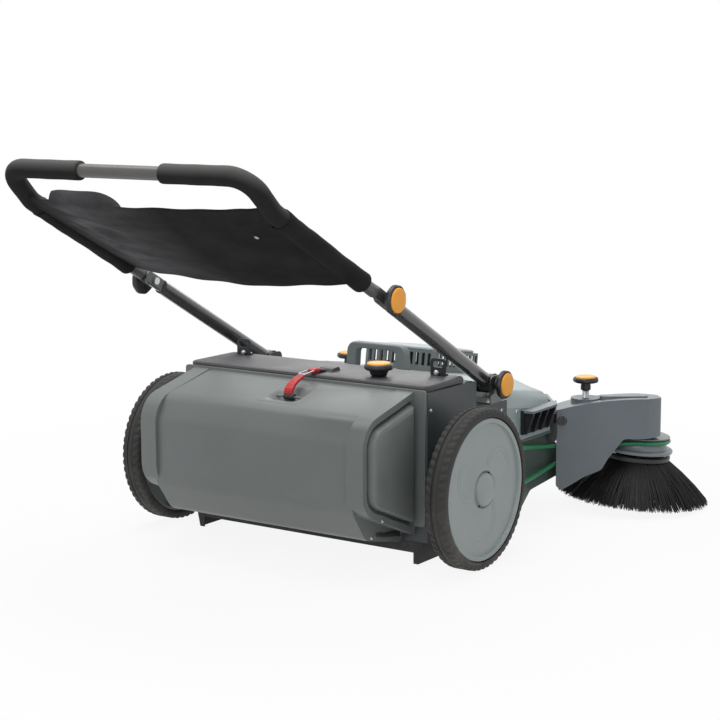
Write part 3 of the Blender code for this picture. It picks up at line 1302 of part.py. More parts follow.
def cover_top(u):
    """Height of the cover's top: an arch that rises from the hinge and ends level."""
    left = 1.0 - min(max(u, 0.0) / COVER_ARCH_LEN, 1.0)
    return COVER_TOP_IN + (COVER_TOP_OUT - COVER_TOP_IN) * (1.0 - left ** COVER_ARCH)


def cover_profile(drop, start, base):
    """Side view of the cover in u and z, its arch lowered by drop."""
    arch = [(COVER_ARCH_LEN * (1 - k / 7), cover_top(COVER_ARCH_LEN * (1 - k / 7)) - drop) for k in range(8)]
    outline = [(start, base), (COVER_LEN + 0.01, base), (COVER_LEN + 0.01, COVER_TOP_OUT - drop)] + arch
    if start < 0:
        outline.append((start, COVER_TOP_IN - drop))
    return outline


def fallen(bm):
    """Let the cover's top fall towards its front edge."""
    for v in bm.verts:
        if v.co.z > COVER_TOP_IN - 0.01:
            v.co.z -= COVER_FALL * v.co.y / COVER_DEPTH
    return bm


def cover_plan(shrink=0.0):
    length, depth = COVER_LEN - shrink, COVER_DEPTH - shrink
    return round_outline([(0.0, shrink), (0.200 - shrink * 0.4, shrink, 0.020), (length, 0.034, 0.020),
                          (length, depth - 0.040, 0.025), (length - 0.040, depth, 0.025),
                          (0.050, depth, 0.020), (0.0, depth - 0.030)], 2)


def build_arm(side):
    """Side brush arm: moulded cover with a deep rear wall, spindle and height knob."""
    tag = side_name(side)
    frame = arm_frame()
    hinge = frame @ Vector((HINGE_U, 0, HINGE_Z))
    origin = (side * hinge.x, hinge.y, hinge.z)

    bm = fallen(prism(cover_profile(0.0, 0.0, COVER_LOW), "y", -0.01, COVER_DEPTH + 0.01))
    bmesh.ops.transform(bm, matrix=frame, verts=bm.verts)
    made = finish("arm_cover_" + tag, mirrored(bm, side), "arm_plastic", origin)
    plan = prism(cover_plan(), "z", COVER_LOW - 0.01, COVER_TOP_OUT + 0.01)
    bmesh.ops.transform(plan, matrix=frame, verts=plan.verts)
    boolean(made, mirrored(plan, side), "cover_plan_" + tag, "INTERSECT")
    boss = disc(BOSS_R, COVER_TOP_IN, BOSS_TOP, 20, frame @ Matrix.Translation((ADJUST_U, ADJUST_V, 0)))
    boolean(made, mirrored(boss, side), "cover_boss_" + tag, "UNION")

    wall = [(0.0, COVER_TOP_IN - 0.008), (0.0, 0.060, 0.008), (0.012, 0.050, 0.004), (0.061, 0.080, 0.030),
            (0.100, 0.096, 0.020), (0.113, 0.120, 0.010), (0.148, COVER_LOW, 0.012),
            (0.170, COVER_LOW), (0.170, COVER_TOP_IN - 0.004)]
    bm = prism(round_outline(wall, 3), "y", 0.0, COVER_WALL)
    bmesh.ops.transform(bm, matrix=frame, verts=bm.verts)
    boolean(made, mirrored(bm, side), "cover_wall_" + tag, "UNION")

    bm = fallen(prism(cover_profile(COVER_WALL, -0.02, COVER_LOW - 0.05), "y", COVER_WALL, COVER_DEPTH))
    bmesh.ops.transform(bm, matrix=frame, verts=bm.verts)
    cavity = boolean(made, mirrored(bm, side), "cover_cavity_" + tag)
    plan = prism([(u - 0.03 if u < 0.01 else u, v) for u, v in cover_plan(COVER_WALL)], "z",
                 COVER_LOW - 0.06, COVER_TOP_OUT)
    bmesh.ops.transform(plan, matrix=frame, verts=plan.verts)
    boolean(cavity, mirrored(plan, side), "cavity_plan_" + tag, "INTERSECT")

    bm = prism(round_outline([(0.100, 0.035, 0.008), (0.205, 0.035, 0.008), (0.205, 0.060, 0.008),
                              (0.100, 0.060, 0.008)], 2), "z", 0.240, COVER_TOP_OUT)
    bmesh.ops.transform(bm, matrix=frame, verts=bm.verts)
    boolean(made, mirrored(bm, side), "cover_ridge_" + tag, "UNION")

    bores = bmesh.new()
    bolt = Matrix.Translation((ADJUST_U, ADJUST_V, 0))
    disc(BOLT_R + GAP, 0.20, 0.30, 12, frame @ bolt, bores)
    pin = frame @ Matrix.Translation((HINGE_U, 0, HINGE_Z)) @ Matrix.Rotation(-math.pi / 2, 4, "X")
    disc(HINGE_HOLE_R, -0.02, 0.02, 20, pin, bores)
    boolean(made, mirrored(bores, side), "cover_bores_" + tag)

    spin = brush_frame()
    ceiling = cover_top(0.16) - COVER_FALL * 0.09 / COVER_DEPTH - COVER_WALL
    top = (spin.inverted() @ (frame @ Vector((0.16, 0.09, ceiling)))).z - 0.0045
    profile = [(0.0, PLATE_Z - 0.012), (SPINDLE_R, PLATE_Z - 0.012), (SPINDLE_R, top - 0.008),
               (0.022, top - 0.008), (0.022, top), (0.0, top)]
    bm = lathe(profile, 16, spin)
    finish("spindle_" + tag, mirrored(bm, side), "bright_steel", origin)
    build_side_brush(side, spin)
    build_adjuster(side, frame)
    build_hinge(side, frame)
    build_belt(side, frame, spin)


def build_side_brush(side, spin):
    """Belt pulley, and the bristle plate with its strands."""
    tag = side_name(side)
    bore = SPINDLE_R + RUN
    centre = spin @ Vector((0, 0, SIDE_PULLEY_Z))
    origin = (side * centre.x, centre.y, centre.z)
    z = SIDE_PULLEY_Z
    bottom = BRUSH_BELT_R - BELT_R - GROOVE_ROOM
    lip = BRUSH_BELT_R + PULLEY_LIP - 0.001
    half = BELT_R + GAP * 3
    profile = [(bore, SKIRT_Z), (PULLEY_R - 0.003, SKIRT_Z), (PULLEY_R, SKIRT_Z + 0.004),
               (PULLEY_R, SKIRT_Z + 0.008), (lip - 0.003, SKIRT_Z + 0.0115),
               (bottom, z - half - 0.001), (bottom, z + half),
               (lip, z + half + 0.0015), (lip - 0.003, z + half + 0.004), (bore, z + half + 0.004)]
    bm = lathe(profile, 22, spin)
    finish("side_pulley_" + tag, mirrored(bm, side), "arm_plastic", origin)

    bm = bmesh.new()
    count = SIDE_STRANDS // 2
    top_z, low_z = PLATE_Z + PLATE_T / 2, PLATE_Z - PLATE_T / 2
    rows = ((bore, top_z), (PLATE_R - 0.006, top_z), (PLATE_R, low_z + 0.004), (PLATE_R - 0.012, low_z),
            (bore, low_z))
    loops = []
    for r, h in rows:
        loop = []
        for k in range(count):
            a = 2 * math.pi * k / count
            loop.append(bm.verts.new((r * math.cos(a), r * math.sin(a), h)))
        loops.append(loop)
    chosen = []
    for i in range(len(loops)):
        a, b = loops[i], loops[(i + 1) % len(loops)]
        for k in range(count):
            n = (k + 1) % count
            if i == 2:
                chosen.append((bm.faces.new((a[k], a[n], b[n])), True))
                chosen.append((bm.faces.new((a[k], b[n], b[k])), False))
            else:
                bm.faces.new((a[k], a[n], b[n], b[k]))
    bmesh.ops.recalc_face_normals(bm, faces=bm.faces)
    for face, outer in chosen:
        middle = face.calc_center_median()
        a = math.atan2(middle.y, middle.x)
        if outer:
            reach, height = SIDE_R - 0.001 - random.random() * 0.004, random.random() * 0.006
        else:
            reach, height = SIDE_R * 0.80 - random.random() * 0.008, 0.003 + random.random() * 0.006
        tip = Vector((reach * math.cos(a), reach * math.sin(a), height))
        strand(bm, face, tip, 0.34)
    bmesh.ops.transform(bm, matrix=spin, verts=bm.verts)
    finish("side_bristles_" + tag, mirrored(bm, side), "bristles", origin)


def build_adjuster(side, frame):
    """Height knob on its stud above the cover."""
    foot = frame @ Vector((ADJUST_U, ADJUST_V, 0))
    seat = ADJUST_TOP - KNOB_H - KNOB_CAP_T
    origin = (side * foot.x, foot.y, seat)
    place = Matrix.Translation((foot.x, foot.y, seat))
    shoulder = seat - BOSS_TOP - GAP
    stud = [(STUD_R, 0.0), (STUD_R, shoulder), (BOLT_R, shoulder), (BOLT_R, seat - COVER_TOP_IN + 0.004)]
    bm = star_knob(ADJUST_R, KNOB_H, stud, place)
    finish("side_knob_" + side_name(side), mirrored(bm, side), "black_plastic", origin)


def build_hinge(side, frame):
    """Black ribbed bracket on the hood's side with its lug and belt post, and the hinge pin."""
    tag = side_name(side)
    body_dir = Vector((NOSE_HALF - HOOD_HALF, NOSE_Y - TAPER_Y)).normalized()
    out = Vector((body_dir.y, -body_dir.x))
    corner = Vector((HOOD_HALF + GAP * 3, TAPER_Y))
    end = corner + body_dir * 0.090
    thick = BRACKET_T
    plan = [(corner.x, BRACKET_REAR), (corner.x + thick, BRACKET_REAR), (corner.x + thick, TAPER_Y + 0.002),
            tuple(end + out * thick), tuple(end), tuple(corner)]
    made = finish("arm_bracket_" + tag, mirrored(prism(plan, "z", BRACKET_LOW, BRACKET_TOP), side),
                  "black_plastic")
    outer = corner.x + BRACKET_OUT
    shelf = round_outline([(corner.x + 0.002, BRACKET_REAR), (outer, BRACKET_REAR + 0.004, 0.006),
                           (outer, 0.428, 0.020), (corner.x + 0.004, TAPER_Y + 0.018),
                           (corner.x + 0.002, TAPER_Y)], 3)
    shelf = prism(shelf, "z", BRACKET_TOP - 0.005, BRACKET_TOP)
    boolean(made, mirrored(shelf, side), "bracket_shelf_" + tag, "UNION")
    pin = frame @ Matrix.Translation((HINGE_U, 0, HINGE_Z)) @ Matrix.Rotation(-math.pi / 2, 4, "X")
    root = corner.x + thick
    gusset = [(root - 0.002, BRACKET_LOW), (root + 0.003, BRACKET_LOW), (outer - 0.001, BRACKET_TOP - 0.008),
              (outer - 0.001, BRACKET_TOP - 0.002), (root - 0.002, BRACKET_TOP - 0.002)]
    for i in range(4):
        y = BRACKET_REAR + 0.006 + GUSSET_PITCH * i
        rib = prism(gusset, "y", y, y + 0.006)
        boolean(made, mirrored(rib, side), "bracket_rib_%d_%s" % (i, tag), "UNION")
    lug = prism(round_outline([
        (-0.016, HINGE_Z - 0.0140), (0.003, HINGE_Z - 0.0140), (0.003, LUG_LOW),
        (HINGE_U, LUG_LOW, 0.004), (HINGE_U, HINGE_Z - 0.0140),
        (POST_U + POST_R, HINGE_Z - 0.0140, 0.006),
        (POST_U + POST_R, HINGE_Z + 0.0060, 0.010), (HINGE_U + 0.0145, HINGE_Z + 0.0125, 0.012),
        (-0.016, HINGE_Z + 0.0125)], 3), "y", 0.020, 0.050)
    bmesh.ops.transform(lug, matrix=frame, verts=lug.verts)
    boolean(made, mirrored(lug, side), "bracket_lug_" + tag, "UNION")
    post = disc(POST_R, POST_LOW, HINGE_Z - 0.010, 16, frame @ Matrix.Translation((POST_U, POST_V, 0)))
    boolean(made, mirrored(post, side), "belt_post_" + tag, "UNION")
    bore = disc(HINGE_PIN_R + GAP, 0.0, 0.09, 16, pin)
    boolean(made, mirrored(bore, side), "bracket_bore_hinge_" + tag)
    bm = lathe([(0.0, -0.001), (HINGE_HOLE_R - GAP * 2, -0.001), (HINGE_HOLE_R - GAP * 2, 0.008),
                (HINGE_PIN_R, 0.008), (HINGE_PIN_R, 0.056), (0.0, 0.056)], 12, pin)
    finish("hinge_pin_" + tag, mirrored(bm, side), "black_plastic")


def heading(first, r1, s1, second, r2, s2):
    """Direction of a straight strand between two circles; s is +1 where its centre is on the right."""
    span = second - first
    return math.atan2(span.y, span.x) - math.asin((s1 * r1 - s2 * r2) / span.length)


def touch(centre, radius, s, angle):
    """Point where a strand with this heading leaves or meets a circle."""
    return centre + Vector((-math.sin(angle), math.cos(angle))) * (s * radius)


def belt_points(frame, spin):
    """Closed centre line of the belt: wheel pulley, fixed post, brush pulley and back round the post."""
    x = DRIVE_PULLEY_X
    wheel = Vector((x, 0))
    post = (frame @ Vector((POST_U, POST_V, 0))).to_2d()
    hub = (spin @ Vector((0, 0, SIDE_PULLEY_Z))).to_2d()
    bend = POST_R + BELT_R + GAP * 2
    points = []
    wrap = 10
    for k in range(wrap + 1):
        a = math.pi / 2 + math.pi * k / wrap
        points.append(Vector((x, DRIVE_BELT_R * math.cos(a), AXLE_Z + DRIVE_BELT_R * math.sin(a))))
    out_1 = heading(wheel, 0, 1, post, bend, 1)
    out_2 = heading(post, bend, 1, hub, BRUSH_BELT_R, 1)
    back_1 = heading(hub, BRUSH_BELT_R, 1, post, bend, -1)
    back_2 = heading(post, bend, -1, wheel, 0, 1)
    points += straight(points[-1], (*touch(post, bend, 1, out_1), STRAND_LOW), 2)
    points += [Vector((*touch(post, bend, 1, out_1 + (out_2 - out_1) * k / 3), STRAND_LOW)) for k in range(4)]
    tilt = spin.inverted().to_3x3()
    starts = []
    for angle in (out_2, back_1):
        normal = tilt @ Vector((-math.sin(angle), math.cos(angle), 0))
        starts.append(math.atan2(normal.y, normal.x))
    first, last = starts
    while last > first:
        last -= 2 * math.pi
    wrap = 10
    rounds = []
    for k in range(wrap + 1):
        a = first + (last - first) * k / wrap
        rounds.append(spin @ Vector((BRUSH_BELT_R * math.cos(a), BRUSH_BELT_R * math.sin(a), SIDE_PULLEY_Z)))
    points += straight(points[-1], rounds[0], 2) + rounds
    while back_2 < back_1:
        back_2 += 2 * math.pi
    arc = [Vector((*touch(post, bend, -1, back_1 + (back_2 - back_1) * k / 5), STRAND_HIGH)) for k in range(6)]
    points += straight(points[-1], arc[0], 2) + arc
    points += straight(points[-1], (x, 0, AXLE_Z + DRIVE_BELT_R), 2)
    return points


def straight(start, end, count):
    """Points between two ends, without the ends."""
    return [Vector(start).lerp(Vector(end), k / (count + 1)) for k in range(1, count + 1)]


def build_belt(side, frame, spin):
    """Round belt from the wheel to the side brush."""
    bm = pipe(belt_points(frame, spin), BELT_R, sides=5, closed=True)
    finish("belt_" + side_name(side), mirrored(bm, side), "green_belt")


def build_caster():
    """Front swivel caster under the lower body."""
    swivel = (0, CASTER_Y, 0)
    plate_top = LOWER_BOTTOM - GAP
    bm = block((-0.028, CASTER_Y - 0.028, plate_top - 0.003), (0.028, CASTER_Y + 0.028, plate_top))
    finish("caster_plate", bm, "bright_steel")
    low = plate_top - 0.003 - GAP
    bm = disc(0.020, low - 0.005, low, 20, Matrix.Translation(swivel))
    made = finish("caster_fork", bm, "bright_steel", (0, CASTER_Y, low))
    legs = bmesh.new()
    wheel_y = CASTER_Y - CASTER_TRAIL
    inner = CASTER_W / 2 + RUN
    for side in (1, -1):
        x0, x1 = sorted((side * inner, side * (inner + FORK_T)))
        leg = round_outline([(CASTER_Y + 0.016, low - 0.003), (CASTER_Y - 0.018, low - 0.003),
                             (wheel_y - 0.010, CASTER_Z - 0.004, 0.008),
                             (wheel_y + 0.010, CASTER_Z - 0.008, 0.008)], 3)
        prism(leg, "x", x0, x1, legs)
    boolean(made, legs, "fork_legs", "UNION")
    pin = disc(0.004, -inner - FORK_T, inner + FORK_T, 12, along_x(0, wheel_y, CASTER_Z))
    boolean(made, pin, "fork_pin", "UNION")
    profile = [(0.004 + RUN, -CASTER_W / 2), (0.012, -CASTER_W / 2), (0.014, -CASTER_W / 2 + 0.003),
               (CASTER_R - 0.006, -CASTER_W / 2 + 0.003), (CASTER_R, -CASTER_W / 2 + 0.006),
               (CASTER_R, CASTER_W / 2 - 0.006), (CASTER_R - 0.006, CASTER_W / 2 - 0.003),
               (0.014, CASTER_W / 2 - 0.003), (0.012, CASTER_W / 2), (0.004 + RUN, CASTER_W / 2)]
    bm = lathe(profile, CASTER_FACETS, along_x(0, wheel_y, CASTER_Z), turn=math.pi / CASTER_FACETS)
    finish("caster_wheel", bm, "tyre_rubber", (0, wheel_y, CASTER_Z))


clear_scene()
sweeper = bpy.data.objects.new("sweeper", None)
sweeper.location = (0, AXLE_Y, 0)
bpy.context.scene.collection.objects.link(sweeper)
for wheel_side in (1, -1):
    build_wheel(wheel_side)
    build_axle(wheel_side)
    build_handle_bracket(wheel_side)
build_housing()
build_deck()
build_roller_knob()
build_main_brush()
build_hood()
build_lower_body()
build_vent_box()
build_carry_handle()
build_hopper()
build_latch()
build_skirt()
build_handle()
for arm_side in (1, -1):
    build_arm(arm_side)
build_caster()
bpy.context.view_layer.update()
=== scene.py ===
# %% [markdown]
# # Dressing a push sweeper
# The solids of this sweeper already stand in the right places. This lesson gives them the look of
# the real machine: moulded plastic, rubber, powder-coated tube, woven cloth and some sixteen
# thousand bristles. The solids are loaded first.

# %% Load the solids
import json
import math

import bmesh
import bpy
import numpy as np
from mathutils import Matrix, Vector


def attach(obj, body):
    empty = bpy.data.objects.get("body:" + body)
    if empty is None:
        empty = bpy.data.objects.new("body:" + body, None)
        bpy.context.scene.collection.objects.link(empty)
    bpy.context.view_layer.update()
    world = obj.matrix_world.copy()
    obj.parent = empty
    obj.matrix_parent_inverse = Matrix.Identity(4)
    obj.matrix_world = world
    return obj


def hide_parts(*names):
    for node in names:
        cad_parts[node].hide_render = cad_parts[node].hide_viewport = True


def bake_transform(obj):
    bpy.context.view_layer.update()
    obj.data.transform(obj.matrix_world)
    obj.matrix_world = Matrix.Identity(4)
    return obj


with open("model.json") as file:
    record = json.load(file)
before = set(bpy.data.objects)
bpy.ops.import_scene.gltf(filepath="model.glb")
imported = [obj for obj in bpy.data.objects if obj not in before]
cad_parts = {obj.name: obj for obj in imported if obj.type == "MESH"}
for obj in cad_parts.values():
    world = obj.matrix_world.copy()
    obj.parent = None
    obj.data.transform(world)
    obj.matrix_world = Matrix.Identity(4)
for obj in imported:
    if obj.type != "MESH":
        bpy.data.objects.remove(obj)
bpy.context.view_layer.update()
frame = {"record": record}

# %% [markdown]
# ## One set of numbers
# The drawing counts lengths along the machine from the wheel axle, and the frame counts them from
# the middle of the whole machine. One shift, added when a mesh is made, turns one into the other.

# %% Numbers of the machine
AXLE_SHIFT = np.array([0.0, -0.1135, 0.0])
AXLE = np.array([0.0, 0.0, 0.15939])
WHEEL_R, TYRE_W, WHEEL_FACE_X, TYRE_DEPTH = 0.160, 0.045, 0.4016, 0.017
DISC_R, DISC_FACE_X = 0.1416, WHEEL_FACE_X - 0.0056
ARM_X, UPPER_R, LOWER_R = 0.284, 0.0125, 0.0149
PIVOT = np.array([0.205, 0.330])
FOLD = np.array([-0.182, 0.5445])
BEND = np.array([-0.520, 0.7285])
BAR = np.array([-0.585, 0.7930])
HEIGHT_KNOB = (0.150, 0.0, 0.3615)
ROOF_Y, ROOF_Z, ROOF_SLOPE = -0.0573, 0.350, 0.2264
ARM_TURN = math.radians(34.0)
ARM_ORIGIN = np.array([0.297, 0.480, 0.0])
SHELF_TOP = 0.2515
SIDE_R, SIDE_TILT, SIDE_LOW = 0.170, math.radians(5.0), math.radians(35.0)
SIDES = (("right", 1.0), ("left", -1.0))
ACROSS, UPWARD = (1, 0, 0), (0, 0, 1)

# %% [markdown]
# ## From arrays to meshes
# Every new shape is a grid of points: a row for each step along it, a column for each step round
# it. Numpy works out the whole grid at once, and the faces follow from the grid's size alone.

# %% Grid helpers
def grid_quads(rows, cols, wrap_rows=False, wrap_cols=False):
    """Corner numbers of the quads between neighbours of a rows x cols grid."""
    i = np.arange(rows if wrap_rows else rows - 1)[:, None]
    j = np.arange(cols if wrap_cols else cols - 1)[None, :]
    i2, j2 = (i + 1) % rows, (j + 1) % cols
    quads = np.stack([i * cols + j, i * cols + j2, i2 * cols + j2, i2 * cols + j], -1)
    return quads.reshape(-1, 4)


def circle(steps):
    """Equal angles round a circle, the first one not repeated."""
    return np.linspace(0, 2 * np.pi, steps, endpoint=False)


def to_object(name, points, faces, smooth, tidy=True):
    """Points in the drawing's numbers and their faces, as an object whose mesh is in the frame."""
    mesh = bpy.data.meshes.new(name)
    mesh.from_pydata((np.asarray(points, float).reshape(-1, 3) + AXLE_SHIFT).tolist(), [],
                     [list(map(int, f)) for f in faces])
    if tidy:
        bm = bmesh.new()
        bm.from_mesh(mesh)
        bmesh.ops.remove_doubles(bm, verts=bm.verts, dist=2e-6)
        bmesh.ops.recalc_face_normals(bm, faces=bm.faces)
        bm.to_mesh(mesh)
        bm.free()
    mesh.shade_smooth()
    mesh.set_sharp_from_angle(angle=math.radians(smooth))
    made = bpy.data.objects.new(name, mesh)
    bpy.context.scene.collection.objects.link(made)
    return made


def grid_object(name, grid, smooth=40.0, wrap=(False, False), tidy=True):
    """A grid of points as an object; wrap says which of its two directions close on themselves."""
    return to_object(name, grid, grid_quads(*grid.shape[:2], *wrap), smooth, tidy)


def dress(made, finish, body, node=None):
    """Give a piece its finish, the body that it rides, and the solid that it stands in for."""
    made.data.materials.append(finish)
    if body:
        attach(made, body)
    if node:
        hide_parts(node)
    return made


def turned_object(name, profile, centre, axis, steps, finish, body, node=None, swell=None, closed=False):
    """A turned shape, dressed.

    Each profile point (radius, height) goes round the axis: centre + radius * (cos a, sin a) in the
    plane across the axis + height * axis. swell(angles, profile) may scale the radius, and closed
    joins the profile's last point to its first.
    """
    profile = np.asarray(profile, float)
    axis = np.asarray(axis, float) / np.linalg.norm(axis)
    side = np.cross(axis, (0.0, 0.0, 1.0) if abs(axis[2]) < 0.9 else (1.0, 0.0, 0.0))
    side /= np.linalg.norm(side)
    other = np.cross(axis, side)
    a = circle(steps)[:, None]
    r = np.broadcast_to(profile[None, :, 0], (steps, len(profile)))
    if swell:
        r = r * swell(a, profile[None, :, :])
    ring = np.cos(a)[..., None] * side + np.sin(a)[..., None] * other
    grid = np.asarray(centre, float) + r[..., None] * ring + profile[None, :, 1, None] * axis
    return dress(grid_object(name, grid, wrap=(True, closed)), finish, body, node)


def bar_profile(radius, low, high, edge, step, inner=0.0):
    """A bar or a ring from low to high; its outer corners are cut by edge across and step along."""
    return [(inner, low), (radius - edge, low), (radius, low + step), (radius, high - step),
            (radius - edge, high), (inner, high)]


def frames_along(path, closed):
    """Unit side and upward vectors along a path, each turned as little as can be."""
    if closed:
        tangent = np.roll(path, -1, 0) - np.roll(path, 1, 0)
    else:
        tangent = np.gradient(path, axis=0)
    tangent /= np.linalg.norm(tangent, axis=1)[:, None]
    up = np.zeros_like(path)
    first = np.cross(tangent[0], (1.0, 0.2, 0.1))
    up[0] = first / np.linalg.norm(first)
    for k in range(1, len(path)):
        flat = up[k - 1] - tangent[k] * (up[k - 1] @ tangent[k])
        up[k] = flat / np.linalg.norm(flat)
    return np.cross(tangent, up), up


def capped(grid):
    """The same grid, closed: before and after it comes a row that lies in its end row's middle."""
    ends = [np.repeat(row.mean(1, keepdims=True), grid.shape[1], 1) for row in (grid[:1], grid[-1:])]
    return np.concatenate([ends[0], grid, ends[1]], 0)


def hose_object(name, path, radius, steps, finish, body=None, node=None, closed=False):
    """A round tube, dressed: path + radius * (cos a * side + sin a * up). The radius may vary."""
    path = np.asarray(path, float)
    side, up = frames_along(path, closed)
    a = circle(steps)[None, :, None]
    r = np.broadcast_to(np.asarray(radius, float), (len(path),))[:, None, None]
    grid = path[:, None] + r * (np.cos(a) * side[:, None] + np.sin(a) * up[:, None])
    grid = grid if closed else capped(grid)
    return dress(grid_object(name, grid, wrap=(closed, True)), finish, body, node)


def thicken(made, label, thickness, offset):
    """Give a sheet a wall by a Solidify modifier."""
    wall = made.modifiers.new(label, "SOLIDIFY")
    wall.thickness = thickness
    wall.offset = offset


def bow(points, radius, steps):
    """A polyline with its inner corners rounded by arcs, as an array."""
    pts = [Vector(p) for p in points]
    out = [pts[0]]
    for before, here, after in zip(pts, pts[1:], pts[2:]):
        a, b = (before - here).normalized(), (after - here).normalized()
        half = a.angle(b) / 2
        start, end = here + a * radius / math.tan(half), here + b * radius / math.tan(half)
        middle = here + (a + b).normalized() * radius / math.sin(half)
        sweep = (start - middle).angle(end - middle)
        for k in range(steps + 1):
            w0, w1 = math.sin(sweep * (1 - k / steps)), math.sin(sweep * k / steps)
            out.append(middle + ((start - middle) * w0 + (end - middle) * w1) / math.sin(sweep))
    out.append(pts[-1])
    return np.array([tuple(p) for p in out])


def fine(path, count):
    """The same path, cut into count equal steps of length."""
    path = np.asarray(path, float)
    reach = np.concatenate([[0], np.cumsum(np.linalg.norm(np.diff(path, axis=0), axis=1))])
    where = np.linspace(0, reach[-1], count)
    return np.stack([np.interp(where, reach, path[:, k]) for k in range(3)], -1)


def flipped(grid, sign):
    """The mirror image in x for the left side."""
    return grid * np.array([sign, 1.0, 1.0])


print("helpers ready")

# %% [markdown]
# ## Shared effects
# Three effects come back in many finishes: the fine grain of a spark-eroded mould, with a slow
# mottling that keeps a large panel from looking flat, dust that gathers towards the floor, and a
# plain weave. Each is one node group that puts out heights or masks. The shader itself stays in
# each material.

# %% Node group helpers
def new_group(name, inputs, outputs):
    """An empty shader node group with float or vector inputs and float outputs."""
    group = bpy.data.node_groups.new(name, "ShaderNodeTree")
    for label, kind, value in inputs:
        socket = group.interface.new_socket(label, in_out="INPUT", socket_type=kind)
        if kind == "NodeSocketFloat":
            socket.default_value = value
    for label in outputs:
        group.interface.new_socket(label, in_out="OUTPUT", socket_type="NodeSocketFloat")
    nodes = group.nodes
    return group, nodes.new("NodeGroupInput"), nodes.new("NodeGroupOutput")


def maths(tree, operation, a, b=None, clamp=False):
    """A Math node whose inputs are sockets or plain numbers."""
    node = tree.nodes.new("ShaderNodeMath")
    node.operation = operation
    node.use_clamp = clamp
    for socket, value in zip(node.inputs, (a, b)):
        if value is None:
            continue
        if isinstance(value, (int, float)):
            socket.default_value = value
        else:
            tree.links.new(value, socket)
    return node.outputs[0]


def noise(tree, vector, scale, detail, rough=0.5):
    """A noise texture's height; scale is a number or a socket."""
    node = tree.nodes.new("ShaderNodeTexNoise")
    tree.links.new(vector, node.inputs["Vector"])
    node.inputs["Detail"].default_value = detail
    node.inputs["Roughness"].default_value = rough
    if isinstance(scale, (int, float)):
        node.inputs["Scale"].default_value = scale
    else:
        tree.links.new(scale, node.inputs["Scale"])
    return node.outputs[0]


# %% Grain, mottle and weave groups
def make_grain():
    """Height = fine noise plus a quarter of coarser noise; mottle = slow noise stretched to 0..1."""
    group, inp, out = new_group("moulded_grain", [("Vector", "NodeSocketVector", 0),
                                                  ("Grain", "NodeSocketFloat", 900.0),
                                                  ("Patch", "NodeSocketFloat", 9.0)], ["Height", "Mottle"])
    small = noise(group, inp.outputs["Vector"], inp.outputs["Grain"], 3.0, 0.6)
    large = noise(group, inp.outputs["Vector"], maths(group, "MULTIPLY", inp.outputs["Grain"], 0.3), 2.0)
    group.links.new(maths(group, "ADD", small, maths(group, "MULTIPLY", large, 0.25)), out.inputs["Height"])
    slow = noise(group, inp.outputs["Vector"], inp.outputs["Patch"], 4.0, 0.6)
    spread = maths(group, "MULTIPLY", maths(group, "SUBTRACT", slow, 0.35), 3.3, clamp=True)
    group.links.new(spread, out.inputs["Mottle"])
    return group


def make_dust():
    """Mask that gathers towards the floor: (reach - z) / reach, broken up by noise."""
    group, inp, out = new_group("floor_dust", [("Vector", "NodeSocketVector", 0),
                                               ("Reach", "NodeSocketFloat", 0.16)], ["Mask"])
    split = group.nodes.new("ShaderNodeSeparateXYZ")
    group.links.new(inp.outputs["Vector"], split.inputs[0])
    low = maths(group, "DIVIDE", maths(group, "SUBTRACT", inp.outputs["Reach"], split.outputs["Z"]),
                inp.outputs["Reach"], clamp=True)
    cloud = noise(group, inp.outputs["Vector"], 26.0, 5.0, 0.65)
    patch = maths(group, "MULTIPLY", maths(group, "SUBTRACT", cloud, 0.38), 3.0, clamp=True)
    group.links.new(maths(group, "MULTIPLY", low, patch), out.inputs["Mask"])
    return group


def make_weave():
    """Plain weave: |sin u| and |sin v| taken in turn, as a checker of threads over and under."""
    group, inp, out = new_group("plain_weave", [("Vector", "NodeSocketVector", 0),
                                                ("Threads", "NodeSocketFloat", 900.0)], ["Height", "Over"])
    scaled = group.nodes.new("ShaderNodeVectorMath")
    scaled.operation = "SCALE"
    group.links.new(inp.outputs["Vector"], scaled.inputs[0])
    group.links.new(inp.outputs["Threads"], scaled.inputs["Scale"])
    split = group.nodes.new("ShaderNodeSeparateXYZ")
    group.links.new(scaled.outputs[0], split.inputs[0])
    warp, weft = [maths(group, "ABSOLUTE", maths(group, "SINE", maths(group, "MULTIPLY", lane, math.pi)))
                  for lane in (split.outputs["X"], split.outputs["Y"])]
    column = maths(group, "FLOOR", split.outputs["X"])
    row = maths(group, "FLOOR", split.outputs["Y"])
    turn = maths(group, "PINGPONG", maths(group, "ADD", column, row), 1.0)
    other = maths(group, "SUBTRACT", 1.0, turn)
    over = maths(group, "ADD", maths(group, "MULTIPLY", warp, turn), maths(group, "MULTIPLY", weft, other))
    group.links.new(over, out.inputs["Height"])
    group.links.new(turn, out.inputs["Over"])
    return group


GRAIN, DUST, WEAVE = make_grain(), make_dust(), make_weave()
print("groups:", GRAIN.name, DUST.name, WEAVE.name)

# %% [markdown]
# ## Finishes
# A moulded plastic is a base colour, mottled a little, with grain in its Bump and some dust near
# the floor. A colour in the photograph is display-coded, so it is made linear before it is used.

# %% Material builder
def linear(*rgb):
    """Display values 0..255 made linear."""
    c = np.array(rgb, float) / 255.0
    return tuple(np.where(c <= 0.04045, c / 12.92, ((c + 0.055) / 1.055) ** 2.4))


def group_node(tree, group, vector, **values):
    node = tree.nodes.new("ShaderNodeGroup")
    node.node_tree = group
    tree.links.new(vector, node.inputs["Vector"])
    for label, value in values.items():
        node.inputs[label].default_value = value
    return node


